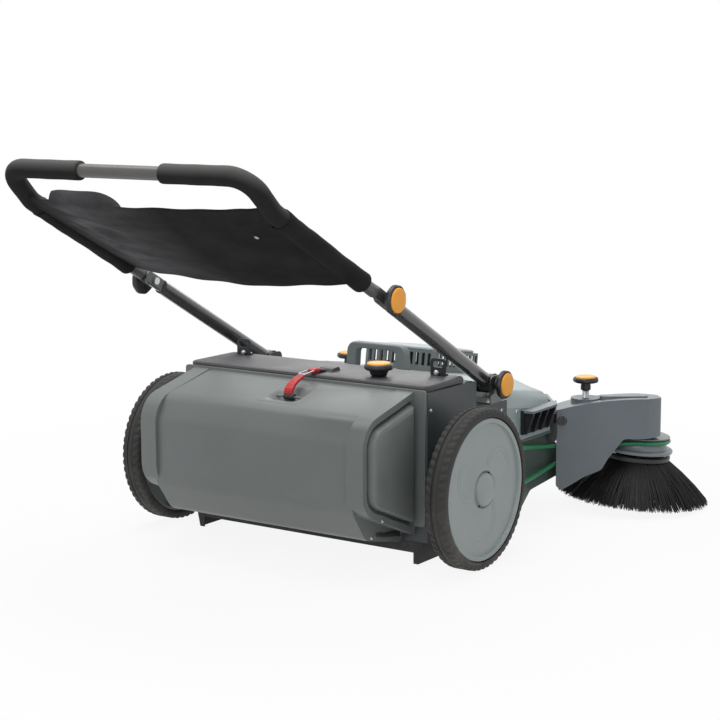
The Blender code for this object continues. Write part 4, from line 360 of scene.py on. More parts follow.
def blend_colours(tree, mask, first, second):
    """Mix two colours, each a tuple or a socket, by a mask."""
    node = tree.nodes.new("ShaderNodeMix")
    node.data_type = "RGBA"
    tree.links.new(mask, node.inputs["Factor"])
    for socket, value in ((node.inputs[6], first), (node.inputs[7], second)):
        if isinstance(value, tuple):
            socket.default_value = (*value, 1.0)
        else:
            tree.links.new(value, socket)
    return node.outputs[2]


def bump(tree, height, strength, distance, after=None):
    node = tree.nodes.new("ShaderNodeBump")
    node.inputs["Strength"].default_value = strength
    node.inputs["Distance"].default_value = distance
    tree.links.new(height, node.inputs["Height"])
    if after is not None:
        tree.links.new(after, node.inputs["Normal"])
    return node.outputs["Normal"]


def new_finish(name, colour):
    """A material, its node tree, its Principled shader and its texture coordinates."""
    made = bpy.data.materials.new(name)
    made.diffuse_color = (*colour, 1.0)
    made.use_nodes = True
    tree = made.node_tree
    return made, tree, tree.nodes["Principled BSDF"], tree.nodes.new("ShaderNodeTexCoord")


# The first colour is dust; the second paints light on faces that look up.
DUST_COLOUR, PAINTED_TOP_COLOUR = linear(150, 146, 138), linear(104, 103, 102)


def moulded(name, colour, rough, vary, grain, depth, patch, dust, metal=0.0, coat=0.0, shine=0.5, painted_top_light=0.0):
    """A procedural finish: mottled colour, grained bump, and dust towards the floor.

    Where the last argument is given, faces that look up are painted paler, as painted light from
    above: the piece's "up" attribute says which.
    """
    made, tree, shader, coords = new_finish(name, colour)
    skin = group_node(tree, GRAIN, coords.outputs["Object"], Grain=grain, Patch=patch)
    lighter = tuple(min(c * (1 + vary), 1.0) for c in colour)
    darker = tuple(c * (1 - vary) for c in colour)
    shade = blend_colours(tree, skin.outputs["Mottle"], darker, lighter)
    if dust > 0:
        dirt = group_node(tree, DUST, coords.outputs["Object"], Reach=0.20)
        amount = maths(tree, "MULTIPLY", dirt.outputs["Mask"], dust)
        shade = blend_colours(tree, amount, shade, DUST_COLOUR)
    if painted_top_light > 0:
        upward = tree.nodes.new("ShaderNodeAttribute")
        upward.attribute_name = "up"
        amount = maths(tree, "MULTIPLY", upward.outputs["Fac"], painted_top_light)
        shade = blend_colours(tree, amount, shade, PAINTED_TOP_COLOUR)
    tree.links.new(shade, shader.inputs["Base Color"])
    tree.links.new(bump(tree, skin.outputs["Height"], depth, 0.0004), shader.inputs["Normal"])
    uneven = maths(tree, "ADD", maths(tree, "MULTIPLY", skin.outputs["Mottle"], 0.10), rough - 0.05)
    tree.links.new(uneven, shader.inputs["Roughness"])
    for label, value in (("Metallic", metal), ("Coat Weight", coat), ("Coat Roughness", 0.15),
                         ("Specular IOR Level", shine)):
        shader.inputs[label].default_value = value
    return made


# %% Plastic, rubber and metal finishes
HOPPER_GREY = moulded("hopper_grey", linear(109, 114, 113), 0.40, 0.06, 1100, 0.30, 5.0, 0.10)
BODY_GREY = moulded("body_grey", linear(58, 64, 66), 0.44, 0.08, 1000, 0.30, 7.0, 0.15)
LOWER_GREY = moulded("lower_green_grey", linear(64, 80, 74), 0.44, 0.10, 1000, 0.30, 7.0, 0.15)
DECK_GREY = moulded("deck_grey", linear(68, 68, 70), 0.47, 0.08, 700, 0.45, 8.0, 0.0, shine=0.45)
HOOD_GREY = moulded("hood_grey_green", linear(144, 156, 157), 0.38, 0.05, 1300, 0.14, 5.0, 0.10)
ARM_GREY = moulded("arm_blue_grey", linear(96, 104, 109), 0.42, 0.07, 1200, 0.18, 8.0, 0.15)
PULLEY_GREY = moulded("pulley_grey", linear(122, 128, 132), 0.32, 0.05, 1200, 0.12, 8.0, 0.10)
VENT_GREY = moulded("vent_grey", linear(104, 110, 110), 0.45, 0.05, 1200, 0.20, 9.0, 0.0)
WHEEL_GREY = moulded("wheel_grey_green", linear(141, 151, 150), 0.36, 0.06, 1200, 0.15, 7.0, 0.15)
BLACK_MOULDING = moulded("black_moulding", linear(30, 31, 34), 0.42, 0.15, 900, 0.30, 9.0, 0.10)
TYRE_BLACK = moulded("tyre_rubber_worn", linear(42, 41, 40), 0.74, 0.24, 500, 0.60, 22.0, 0.30)
FLAP_BLACK = moulded("flap_rubber", linear(42, 42, 43), 0.70, 0.12, 600, 0.35, 10.0, 0.18)
# The foam's upward faces are painted paler: painted light from above.
GRIP_BLACK = moulded("foam_grip", linear(38, 38, 38), 0.92, 0.12, 1500, 0.90, 30.0, 0.0, shine=0.12,
                     painted_top_light=0.75)
CAP_ORANGE = moulded("orange_insert", linear(238, 160, 38), 0.38, 0.04, 1500, 0.10, 14.0, 0.0)
LATCH_RED = moulded("latch_red", linear(176, 32, 30), 0.36, 0.10, 900, 0.20, 30.0, 0.0)
BELT_GREEN = moulded("belt_green", linear(26, 122, 76), 0.42, 0.06, 700, 0.20, 20.0, 0.10)
NYLON_PALE = moulded("gear_nylon_pale", linear(205, 204, 196), 0.45, 0.04, 900, 0.15, 12.0, 0.25)
TUBE_COAT = moulded("tube_powder_coat", linear(84, 82, 81), 0.36, 0.05, 1600, 0.22, 12.0, 0.0, metal=0.30,
                    coat=0.20)
TUBE_GLOSS = moulded("tube_gloss_paint", linear(62, 62, 62), 0.26, 0.06, 1600, 0.10, 12.0, 0.0, metal=0.20,
                     coat=0.60)
ZINC = moulded("zinc_plate", linear(196, 199, 201), 0.28, 0.06, 700, 0.12, 30.0, 0.0, metal=1.0)
BRISTLE_BLACK = moulded("bristle_black", linear(13, 13, 14), 0.58, 0.30, 300, 0.10, 60.0, 0.0, shine=0.3)
BRISTLE_PALE = moulded("bristle_pale", linear(168, 162, 152), 0.40, 0.15, 300, 0.10, 60.0, 0.0)


def cloth_finish():
    """Black plain weave: threads from the piece's own UV map, in metres, and a pale patch of painted light.

    The patch is painted light that the creases catch beside the left arm: it fades with x and is broken
    into streaks along the creases by a stretched noise.
    """
    made, tree, shader, coords = new_finish("black_weave", (0.02, 0.02, 0.022))
    weave = group_node(tree, WEAVE, coords.outputs["UV"], Threads=1400.0)
    skin = group_node(tree, GRAIN, coords.outputs["Object"], Grain=420.0, Patch=14.0)
    shade = blend_colours(tree, skin.outputs["Mottle"], linear(24, 24, 25), linear(38, 38, 39))
    thread = maths(tree, "MULTIPLY", weave.outputs["Over"], 0.30)
    shade = blend_colours(tree, thread, shade, linear(52, 52, 53))
    # Painted light: pale streaks beside the left arm, where the creases catch the light.
    split = tree.nodes.new("ShaderNodeSeparateXYZ")
    tree.links.new(coords.outputs["Object"], split.inputs[0])
    inner_x, outer_x = 0.05, -0.262
    inner = maths(tree, "MULTIPLY", maths(tree, "SUBTRACT", inner_x, split.outputs["X"]), 4.5, clamp=True)
    outer = maths(tree, "MULTIPLY", maths(tree, "ADD", split.outputs["X"], -outer_x), 14.0, clamp=True)
    near = maths(tree, "MULTIPLY", inner, outer)
    streak = tree.nodes.new("ShaderNodeMapping")
    streak.inputs["Rotation"].default_value = (0, 0, math.radians(-38))
    streak.inputs["Scale"].default_value = (1.0, 4.0, 1.0)
    tree.links.new(coords.outputs["Object"], streak.inputs["Vector"])
    cloud = noise(tree, streak.outputs[0], 9.0, 4.0, 0.6)
    painted_crease_light = maths(tree, "MULTIPLY", maths(tree, "SUBTRACT", cloud, 0.12), 1.5, clamp=True)
    painted_crease_light = maths(tree, "MULTIPLY", maths(tree, "MULTIPLY", painted_crease_light, near), 0.90)
    shade = blend_colours(tree, painted_crease_light, shade, linear(112, 111, 114))
    tree.links.new(shade, shader.inputs["Base Color"])
    rough = bump(tree, skin.outputs["Height"], 0.5, 0.0006)
    tree.links.new(bump(tree, weave.outputs["Height"], 0.55, 0.0005, rough), shader.inputs["Normal"])
    shader.inputs["Roughness"].default_value = 0.88
    shader.inputs["Specular IOR Level"].default_value = 0.12
    return made


CLOTH_BLACK = cloth_finish()
print("finishes:", len(bpy.data.materials))

# %% [markdown]
# ## Softened copies of the solids
# A real moulding has no knife edges. The flat and slowly curved solids keep their shape, so each is
# copied, its loose triangles are merged and its flat faces joined, and a small Bevel rounds what is
# left. The copy stands in for the solid, which stays behind it for contact.

# %% Copy and round
def body_of_node(node):
    """Name of the body that a node belongs to."""
    for body, nodes in frame["record"]["behaviour"]["bodies"].items():
        if node in nodes:
            return body
    return "root"


EDGE_ANGLE = math.radians(32.0)


def softened(node, finish, width):
    """A merged copy of a solid with rounded edges, riding where the solid rides."""
    mesh = bpy.data.objects[node].data.copy()
    mesh.materials.clear()
    bm = bmesh.new()
    bm.from_mesh(mesh)
    bmesh.ops.remove_doubles(bm, verts=bm.verts, dist=1e-5)
    bmesh.ops.dissolve_limit(bm, angle_limit=math.radians(0.6), verts=bm.verts, edges=bm.edges)
    bm.to_mesh(mesh)
    bm.free()
    mesh.shade_smooth()
    mesh.set_sharp_from_angle(angle=EDGE_ANGLE)
    made = bpy.data.objects.new(node + "_moulding", mesh)
    bpy.context.scene.collection.objects.link(made)
    edge = made.modifiers.new("round", "BEVEL")
    edge.width = width
    edge.segments = 2
    edge.limit_method = "ANGLE"
    edge.angle_limit = EDGE_ANGLE
    edge.harden_normals = True
    edge.use_clamp_overlap = True
    return dress(made, finish, body_of_node(node), node)


SOFT = [("main_housing", BODY_GREY, 0.0015), ("deck_panel", DECK_GREY, 0.0010),
        ("front_hood", HOOD_GREY, 0.0015), ("lower_body", LOWER_GREY, 0.0015),
        ("vent_box", VENT_GREY, 0.0006), ("vent_lid", HOOD_GREY, 0.0015),
        ("carry_handle", VENT_GREY, 0.0035), ("hopper_shell", HOPPER_GREY, 0.0026),
        ("rubber_skirt", FLAP_BLACK, 0.0006), ("caster_fork", ZINC, 0.0006), ("caster_plate", ZINC, 0.0006)]
for tag, sign in SIDES:
    SOFT += [("tie_down_eye_" + tag, BLACK_MOULDING, 0.0007), ("arm_cover_" + tag, ARM_GREY, 0.0014),
             ("handle_bracket_" + tag, TUBE_GLOSS, 0.0005), ("arm_bracket_" + tag, BLACK_MOULDING, 0.0008)]
for node, finish, width in SOFT:
    made = softened(node, finish, width)
    # Painted light: the black bracket's faces above the shelf's top take the paler arm grey, a painted
    # reflection of the sky on its top.
    if node.startswith("arm_bracket"):
        made.data.materials.append(ARM_GREY)
        middle = np.empty(len(made.data.polygons) * 3)
        made.data.polygons.foreach_get("center", middle)
        made.data.polygons.foreach_set("material_index", (middle[2::3] > SHELF_TOP).astype(np.int32))
print("softened:", len(SOFT))

# %% Soft lining of the latch pocket
def smooth(t):
    """0 to 1 with level ends: 3 t^2 - 2 t^3."""
    t = np.clip(t, 0, 1)
    return t * t * (3 - 2 * t)


def pocket_grid():
    """Depth(s, t) under the roof's slope is deep times a smooth rise from each of the four sides."""
    x_mid, x_half, y_front, y_long, deep = 0.026, 0.0490, -0.0925, 0.0860, 0.0130
    s = np.linspace(-1, 1, 80)[:, None]
    t = np.linspace(0, 1, 72)[None, :]
    y = y_front - y_long * t + 0 * s
    roof = ROOF_Z - (ROOF_Y - y) * ROOF_SLOPE
    rise = smooth((0.873 - np.abs(s)) / 0.48) * smooth((t - 0.077) / 0.28) * smooth((0.920 - t) / 0.31)
    return np.stack([x_mid + x_half * s + 0 * t, y, roof + 0.00015 - deep * rise], -1)


lining = grid_object("pocket_lining", pocket_grid(), 60, tidy=False)
if sum(face.normal.z for face in lining.data.polygons) < 0:
    lining.data.flip_normals()
thicken(lining, "wall", 0.0006, -1.0)
dress(lining, HOPPER_GREY, "hopper")

# %% Finishes of the solids that stay as they are
STAY = {"wheel_gear": NYLON_PALE, "main_brush_gear": NYLON_PALE, "main_brush_shaft": ZINC,
        "latch_pin": HOPPER_GREY}
for tag, sign in SIDES:
    STAY.update({"stub_axle_" + tag: ZINC, "main_brush_bearing_" + tag: BLACK_MOULDING,
                 "hinge_pin_" + tag: BLACK_MOULDING, "spindle_" + tag: ZINC})
for node, finish in STAY.items():
    mesh = bpy.data.objects[node].data
    mesh.materials.clear()
    mesh.materials.append(finish)
print("solids with a new finish:", len(STAY))

# %% [markdown]
# ## Tyres and wheels
# The tyre is solid rubber with a band of cross lugs on each shoulder. One profile goes round the
# axle, and its radius is a function of both the angle and the place across the tread. The wheel
# is a dished disc with a rim bead, a raised hub cap and shallow pressed arcs.

# %% Tyre
def tyre(sign):
    """radius(angle, across) = profile, less the lugs' depth where their wave is low near a shoulder."""
    half = TYRE_W / 2
    edge = TYRE_DEPTH - 0.0002
    groove, lug_depth, lug_count = 0.0026, 0.0024, 60
    across = np.array([-1, -1, -.985, -.95, -.88, -.80, -.66, -.52, -.46, -.34, -.30, -.26, -.10,
                       .10, .26, .30, .34, .46, .52, .66, .80, .88, .95, .985, 1, 1])
    drop = np.array([edge, .010, .0062, .0034, .0012, .0003, 0, 0, 0, 0, .0014, .0014, .0003,
                     0, .0014, .0014, 0, 0, 0, 0, .0003, .0012, .0034, .0062, .010, edge])
    drop = np.where((np.abs(across) > 0.27) & (np.abs(across) < 0.33), groove, drop)
    a = circle(432)[:, None]
    lean = a + 0.055 * np.abs(across)[None]
    lug = np.clip(2.2 * np.sin(lug_count * lean + np.where(across > 0, 0, np.pi)[None]) + 1.1, 0, 1)
    shoulder = np.clip((np.abs(across) - 0.42) / 0.06, 0, 1) * np.clip((1.0 - np.abs(across)) / 0.04, 0, 1)
    r = WHEEL_R - 0.0008 - drop[None] - lug_depth * shoulder[None] * (1 - lug)
    x = WHEEL_FACE_X - half + across[None] * (half - 0.0002)
    grid = np.stack([np.broadcast_to(x, r.shape), r * np.cos(a), AXLE[2] + r * np.sin(a)], -1)
    return flipped(grid, sign)


for tag, sign in SIDES:
    made = grid_object("tyre_tread_" + tag, tyre(sign), 50, (True, False))
    thicken(made, "inside", 0.0004, 1.0)
    dress(made, TYRE_BLACK, "wheel_" + tag, "tyre_" + tag)
    print(made.name, len(made.data.polygons))


# %% Wheel disc
HUB_GAP_R = 0.0352
HUB_NOTCH_SHADE = [(0.0, 0.0), (0.0019, 0.0), (0.0021, 0.0008), (0.0019, 0.0022), (0.0012, 0.0027), (0.0, 0.0028)]


def wheel_face(sign):
    """Heights over the wheel's plane along the radius, with pressed arcs sunk by arc_depth.

    An arc is where the distance to one of three circles' middles is near one of two radii, on its
    far side. The disc's back follows as rings (radius, height).
    """
    arc_depth, arc_away = 0.0011, 0.058
    r = np.concatenate([np.linspace(0.0, 0.0290, 12), np.linspace(0.0300, 0.0425, 44),
                        np.linspace(0.0440, 0.1280, 64),
                        [0.1290, 0.1300, 0.1305, 0.1310, 0.1316, 0.1324, 0.1340, 0.1356, 0.1372, 0.1385,
                         0.1396, 0.1405, 0.1412, DISC_R]])
    cap = 0.0108 * np.sqrt(np.clip(1 - (r / 0.0332) ** 4, 0, 1)) * (r < 0.0332)
    ring = 0.0016 * np.exp(-((r - 0.0388) / 0.0015) ** 2) - 0.0034 * np.exp(-((r - 0.0351) / 0.0009) ** 2)
    dish = 0.0022 * np.sin(np.clip((r - 0.04) / 0.09, 0, 1) * np.pi)
    step = 0.0052 * np.clip((r - 0.1300) / 0.0016, 0, 1) ** 0.8
    lip = -0.0034 * np.clip((r - 0.1392) / 0.0024, 0, 1) ** 2
    height = cap + ring - dish + step + lip
    steps = 300
    a = circle(steps)[:, None]
    y, z = r * np.cos(a), r * np.sin(a)
    sunk = np.zeros_like(y)
    for k in range(3):
        turn = 2 * math.pi * k / 3 + 0.5
        cy, cz = arc_away * math.cos(turn), arc_away * math.sin(turn)
        away = np.hypot(y - cy, z - cz)
        front = np.clip(((y - cy) * math.cos(turn + 1.0) + (z - cz) * math.sin(turn + 1.0)) / 0.015, 0, 1)
        for reach in (0.047, 0.038):
            sunk += arc_depth * np.exp(-((away - reach) / 0.0015) ** 2) * front * (r > 0.044)
    face = np.stack([DISC_FACE_X + height - sunk, y, AXLE[2] + z], -1)
    back_r, back_h = np.array([(DISC_R, -0.035), (0.1358, -0.035), (0.1345, -0.0065), (0.030, -0.0062),
                               (0.026, -0.0405), (0.0107, -0.0405), (0.0107, -0.006), (0.0, -0.006)]).T
    back = np.stack([np.broadcast_to(DISC_FACE_X + back_h, (steps, len(back_h))), back_r * np.cos(a),
                     AXLE[2] + back_r * np.sin(a)], -1)
    grid = np.concatenate([face, back], 1)
    return flipped(grid, sign)


for tag, sign in SIDES:
    made = grid_object("wheel_face_" + tag, wheel_face(sign), 35, (True, False))
    dress(made, WHEEL_GREY, "wheel_" + tag, "wheel_disc_" + tag)
    # Painted shade: two small black bumps in the hub's groove stand for the dark inside two notches there.
    for k, turn in enumerate((math.radians(59), math.radians(239))):
        spot = np.array([sign * (DISC_FACE_X - 0.0010), HUB_GAP_R * math.cos(turn),
                         AXLE[2] + HUB_GAP_R * math.sin(turn)])
        turned_object("hub_notch_shade_%s_%d" % (tag, k), HUB_NOTCH_SHADE, spot, (sign, 0, 0), 20, BLACK_MOULDING,
                      "wheel_" + tag)
    print(made.name, len(made.data.polygons))

# %% Belt pulleys on the wheels
DRIVE_SHEAVE = [(0.0106, 0.3305), (0.0738, 0.3305), (0.0740, 0.3312), (0.0740, 0.3318), (0.0636, 0.3365),
                (0.0636, 0.3467), (0.0740, 0.3512), (0.0740, 0.3520), (0.0735, 0.3525), (0.024, 0.3525),
                (0.024, 0.3542), (0.0106, 0.3542)]
for tag, sign in SIDES:
    turned_object("drive_sheave_" + tag, [(r, h * sign) for r, h in DRIVE_SHEAVE], AXLE, ACROSS, 96,
                  BLACK_MOULDING, "wheel_" + tag, "drive_pulley_" + tag, closed=True)

# %% [markdown]
# ## Knobs
# Seven hand knobs of one family: a black body with a waist and a softly lobed rim, and an orange
# disc pressed into its top. The lobes are a cosine of the angle that fades towards the waist.

# %% Knob shape
LOBE_DEPTH, LOBE_COUNT = 0.016, 9
LOW_SEAT_X, HIGH_SEAT_X = 0.3041, 0.29145
KNOB_BODY = np.array([(0.0, 0.0005), (0.0112, 0.0005), (0.0120, 0.0012), (0.0112, 0.0060),
                      (0.0110, 0.0095), (0.0150, 0.0115), (0.0250, 0.0124), (0.0282, 0.0136),
                      (0.0297, 0.0160), (0.0299, 0.0190), (0.0292, 0.0222), (0.0276, 0.0240),
                      (0.0258, 0.0246), (0.0250, 0.0236), (0.0244, 0.0228), (0.0, 0.0228)])
KNOB_DISC = np.array([(0.0, 0.0231), (0.0240, 0.0231), (0.0241, 0.0250), (0.0236, 0.0262),
                      (0.0222, 0.0272), (0.0190, 0.0277), (0.0, 0.0279)])
STUD_LOW = [(0.0, -0.0460), (0.0074, -0.0458), (0.0074, -0.0404), (0.0039, -0.0402), (0.0039, 0.0005),
            (0.0, 0.0005)]
STUD_HIGH = [(0.0, -0.0206), (0.0074, -0.0205), (0.0074, -0.0150), (0.0039, -0.0148), (0.0039, 0.0005),
             (0.0, 0.0005)]
STUD_PLAIN = [(0.0, -0.0270), (0.0039, -0.0269), (0.0039, 0.0005), (0.0, 0.0005)]
CUP = [(0.0, 0.0006), (0.0150, 0.0006), (0.0160, 0.0014), (0.0192, 0.0090), (0.0206, 0.0130),
       (0.0, 0.0130)]


def lobes(a, profile):
    """Radius times 1 - depth + depth cos(9 a) at the rim, and times 1 at the waist."""
    strong = np.clip((profile[..., 0] - 0.022) / 0.006, 0, 1)
    return 1 - LOBE_DEPTH * strong + LOBE_DEPTH * strong * np.cos(LOBE_COUNT * a)


def knob(name, node, body, seat, axis, stud, scale=1.0):
    """Body, orange disc and the stud's visible part; the body stands in for the knob's solid."""
    turned_object(name, KNOB_BODY * scale, seat, axis, 108, BLACK_MOULDING, body, node, lobes)
    turned_object(name + "_disc", KNOB_DISC * scale, seat, axis, 64, CAP_ORANGE, body)
    turned_object(name + "_stud", stud, seat, axis, 40, ZINC, body)


def thread(radius, start, end, pitch=0.00125):
    """Profile of a threaded bar: the radius goes up and down once each pitch."""
    steps = int((end - start) / pitch * 2)
    heights = np.linspace(start, end, steps + 1)
    radii = np.where(np.arange(steps + 1) % 2 == 0, radius, radius - 0.0006)
    return [(0.0, start)] + list(zip(radii, heights)) + [(0.0, end)]


for tag, sign in SIDES:
    knob("clamp_low_" + tag, "knob_pivot_" + tag, "pivot_knob_" + tag, (sign * LOW_SEAT_X, *PIVOT),
         (sign, 0, 0), STUD_LOW)
    knob("clamp_high_" + tag, "knob_fold_" + tag, "fold_knob_" + tag, (sign * HIGH_SEAT_X, *FOLD),
         (sign, 0, 0), STUD_HIGH)
knob("height_knob_top", "roller_knob", "height_knob", HEIGHT_KNOB, UPWARD, STUD_PLAIN)
turned_object("height_knob_cup", CUP, HEIGHT_KNOB, UPWARD, 64, BLACK_MOULDING, "height_knob")


# %% Knobs on the side arms
def arm_point(u, v, z, sign=1.0):
    """A point given along the arm (u), across it (v) and up, in the drawing's numbers."""
    c, s = math.cos(ARM_TURN), math.sin(ARM_TURN)
    return np.array([sign * (ARM_ORIGIN[0] + u * c - v * s), ARM_ORIGIN[1] + u * s + v * c, z])


STUD_LIFT = [(0.0, -0.0425), (0.0039, -0.0423), (0.0039, -0.0217)]
STUD_LIFT += thread(0.0079, -0.0216, -0.0050, 0.0020)[1:]
COLLAR = [(0.0, -0.0052), (0.0100, -0.0052), (0.0110, -0.0042), (0.0112, 0.0030), (0.0106, 0.0095),
          (0.0, 0.0095)]
for tag, sign in SIDES:
    foot = arm_point(0.0700, 0.0626, 0.2695, sign)
    knob("lift_knob_top_" + tag, "side_knob_" + tag, "lift_knob_" + tag, foot, UPWARD, STUD_LIFT, 0.95)
    turned_object("lift_knob_collar_" + tag, COLLAR, foot, UPWARD, 48, BLACK_MOULDING, "lift_knob_" + tag)

# %% [markdown]
# ## Handle
# The handle is one bent tube clamped to two straight ones whose ends are pressed flat. A tube is a
# circle carried along a path; the pressed end is the same circle squeezed into a strip over its
# last few centimetres. The foam sleeves are thicker tubes with rounded ends.

# %% Tubes
UPPER_DIR = (BEND - FOLD) / np.linalg.norm(BEND - FOLD)
LOW_REACH = np.linalg.norm(FOLD - PIVOT)
LOW_DIR = (FOLD - PIVOT) / LOW_REACH
BEND_R, END_THICK = 0.045, 0.0066


def handle_path():
    """Centre line of the upper tube, from the right clamp round the bar to the left clamp."""
    start = FOLD + UPPER_DIR * 0.040
    corners = [(ARM_X, *start), (ARM_X, *BEND), (ARM_X - 0.004, *BAR), (0.0, *BAR)]
    half = bow(corners, BEND_R, 12)
    return np.concatenate([half[:-1], flipped(half[::-1], -1)], 0)


UPPER_PATH = fine(handle_path(), 260)
hose_object("handle_bow", UPPER_PATH, UPPER_R, 36, TUBE_COAT, "folding_handle", "upper_handle")


def pressed_end(name, along, start, end, width, x_mid, sign, finish, body):
    """Pressed flat end of a tube at the fold: its tip is round, and it swells into the tube."""
    t = np.linspace(0, 1, 60)
    away = start + (end - start) * t
    round_off = np.sqrt(np.clip(1 - np.clip(1 - np.abs(away - start) / (width / 2), 0, 1) ** 2, 0.0, 1))
    a = circle(40)
    c, s = np.cos(a), np.sin(a)
    square = 1.0 / (np.abs(c) ** 8 + np.abs(s) ** 8) ** (1 / 8)
    swell = np.clip((t[:, None] - 0.55) / 0.45, 0, 1) ** 2
    tube = UPPER_R * 0.98 * swell
    half_t = END_THICK / 2 * (1 - swell) + tube
    half_w = width / 2 * round_off[:, None] * (1 - swell) + tube
    shape = square[None] * (1 - swell) + swell
    across = np.array([-along[1], along[0]])
    x = x_mid * (1 - swell) + ARM_X * swell + half_t * shape * c[None]
    yz = FOLD + away[:, None, None] * along + (half_w * shape * s[None])[..., None] * across
    grid = capped(np.concatenate([x[..., None], yz], -1))
    dress(grid_object(name, flipped(grid, sign), 30, (False, True)), finish, body)


for tag, sign in SIDES:
    pressed_end("upper_end_" + tag, UPPER_DIR, -0.0155, 0.056, 0.024, ARM_X + 0.00365, sign, TUBE_COAT,
                "folding_handle")
    pressed_end("lower_end_" + tag, -LOW_DIR, -0.0290, 0.048, 0.0265, ARM_X - 0.00365, sign, TUBE_GLOSS,
                "lower_handle")
    foot = np.array([sign * ARM_X, *PIVOT])
    along = np.array([0, *LOW_DIR])
    line = np.array([foot + along * k for k in (0.0, 0.05, LOW_REACH - 0.045, LOW_REACH - 0.030)])
    hose_object("lower_bar_" + tag, fine(line, 40), LOWER_R, 36, TUBE_GLOSS, "lower_handle",
                "lower_tube_" + tag)
    turned_object("lower_eye_" + tag, bar_profile(0.0208, -0.0148, 0.0148, 0.0008, 0.0008), foot, ACROSS, 64,
                  TUBE_GLOSS, "lower_handle")

# %% Foam sleeves
def sleeve_path(inner_x):
    """The part of the handle's centre line that one sleeve covers."""
    path = UPPER_PATH[:131]
    keep = path[(path[:, 1] < -0.490) & (path[:, 0] > inner_x)]
    return np.concatenate([keep, [[inner_x, *BAR]]], 0)


FOAM_R, FOAM_END_R = 0.0178, 0.0132


def foam_radius(path):
    """Nearly constant, drawn in over 4 mm at both ends, with slow unevenness."""
    reach = np.concatenate([[0], np.cumsum(np.linalg.norm(np.diff(path, axis=0), axis=1))])
    edge = np.minimum(reach, reach[-1] - reach)
    taper = np.sqrt(np.clip(1 - np.clip(1 - edge / 0.004, 0, 1) ** 2, 0, 1))
    return FOAM_END_R + (FOAM_R - FOAM_END_R) * taper + 0.0002 * np.sin(reach * 95)


for tag, sign in SIDES:
    path = fine(sleeve_path(0.094), 120)
    made = hose_object("foam_sleeve_" + tag, flipped(path, sign), foam_radius(path), 40, GRIP_BLACK,
                       "folding_handle", "foam_grip_" + tag)
    # Painted light: each point's share of facing up, which paints the sleeve's top paler.
    facing = np.empty(len(made.data.vertices) * 3)
    made.data.vertices.foreach_get("normal", facing)
    up = made.data.attributes.new("up", "FLOAT", "POINT")
    up.data.foreach_set("value", np.clip(facing[2::3] * 0.85 + 0.15, 0, 1).astype(np.float32))
    print(made.name, len(made.data.polygons))

# %% [markdown]
# ## Cloth between the arms
# A rectangle of black weave is sewn into a sleeve round each arm and hangs slack between them. The
# panel is a grid: across it runs a shallow sag, which is deepest about midway along, and creases fan
# out of the two upper corners. Both hems are doubled, and near one corner the loose edge stands up.

# %% Cloth panel
CLOTH_TOP, CLOTH_LOW, CLOTH_HALF = -0.543, -0.257, 0.270
SLEEVE_TOP = -0.4990


def arm_height(y):
    """Height of the tube's centre line over y, read off its path."""
    half = UPPER_PATH[:126][::-1]
    return np.interp(y, half[:, 1], half[:, 2])


def cloth_grid():
    """Point(s, t): straight across between the arms, less sag(s, t), plus creases(s, t).

    The edges lie against the underside of the grips at the top and beside the tubes further down.
    """
    s = np.linspace(0, 1, 150)[None, :]
    t = np.linspace(0, 1, 80)[:, None]
    x = CLOTH_HALF * (2 * s - 1) + 0 * t
    y = CLOTH_TOP + (CLOTH_LOW - CLOTH_TOP) * t + 0 * s
    hang = 4 * s * (1 - s)
    sag = hang * (0.011 + 0.007 * t + 0.016 * np.sin(np.pi * t)) + 0.004 * np.sin(np.pi * t)
    z = arm_height(y) - sag - 0.004 - 0.011 * (1 - t) ** 4
    left, right = np.hypot(s, t * 0.55), np.hypot(1 - s, t * 0.55)
    fan_l = np.sin(17 * np.arctan2(t * 0.5 + 0.02, s + 0.02)) * np.exp(-2.6 * left)
    fan_r = np.sin(13 * np.arctan2(t * 0.5 + 0.02, 1 - s + 0.02)) * np.exp(-3.2 * right)
    wave = 0.0012 * np.sin(2 * np.pi * (2.1 * s + 0.6 * t))
    wave = wave + 0.0007 * np.sin(2 * np.pi * (5.3 * s - 1.2 * t + 0.2))
    fade = np.clip(8 * s, 0, 1) * np.clip(8 * (1 - s), 0, 1)
    z = z + (0.0048 * fan_l + 0.0022 * fan_r + wave) * fade
    y = y + 0.0025 * np.sin(2 * np.pi * 1.6 * s) * (1 - t) * fade + 0.004 * hang * t
    return np.stack([x, y, z], -1), x, y


def with_uv(made, u, v):
    """Give a grid object a UV map in metres."""
    layer = made.data.uv_layers.new(name="UVMap")
    index = np.empty(len(made.data.loops), int)
    made.data.loops.foreach_get("vertex_index", index)
    both = np.stack([np.asarray(u, float).ravel(), np.asarray(v, float).ravel()], -1)
    layer.data.foreach_set("uv", both[index].ravel())


def sheet_object(name, grid, thickness, u, v):
    """A sheet from a grid of points, with its UV map and a thin Solidify."""
    made = grid_object(name, grid, 80, tidy=False)
    with_uv(made, u, v)
    thicken(made, "cloth", thickness, 0.0)
    made.data.materials.append(CLOTH_BLACK)
    return made


def flat_area(grid):
    """Area of a grid surface."""
    a, b = np.diff(grid, axis=0)[:, :-1], np.diff(grid, axis=1)[:-1]
    return float(np.linalg.norm(np.cross(a, b), axis=-1).sum())


panel_grid, u, v = cloth_grid()
panel = sheet_object("cloth_panel_sheet", panel_grid, 0.0014, u, v)
print("panel area", round(flat_area(panel_grid), 4))

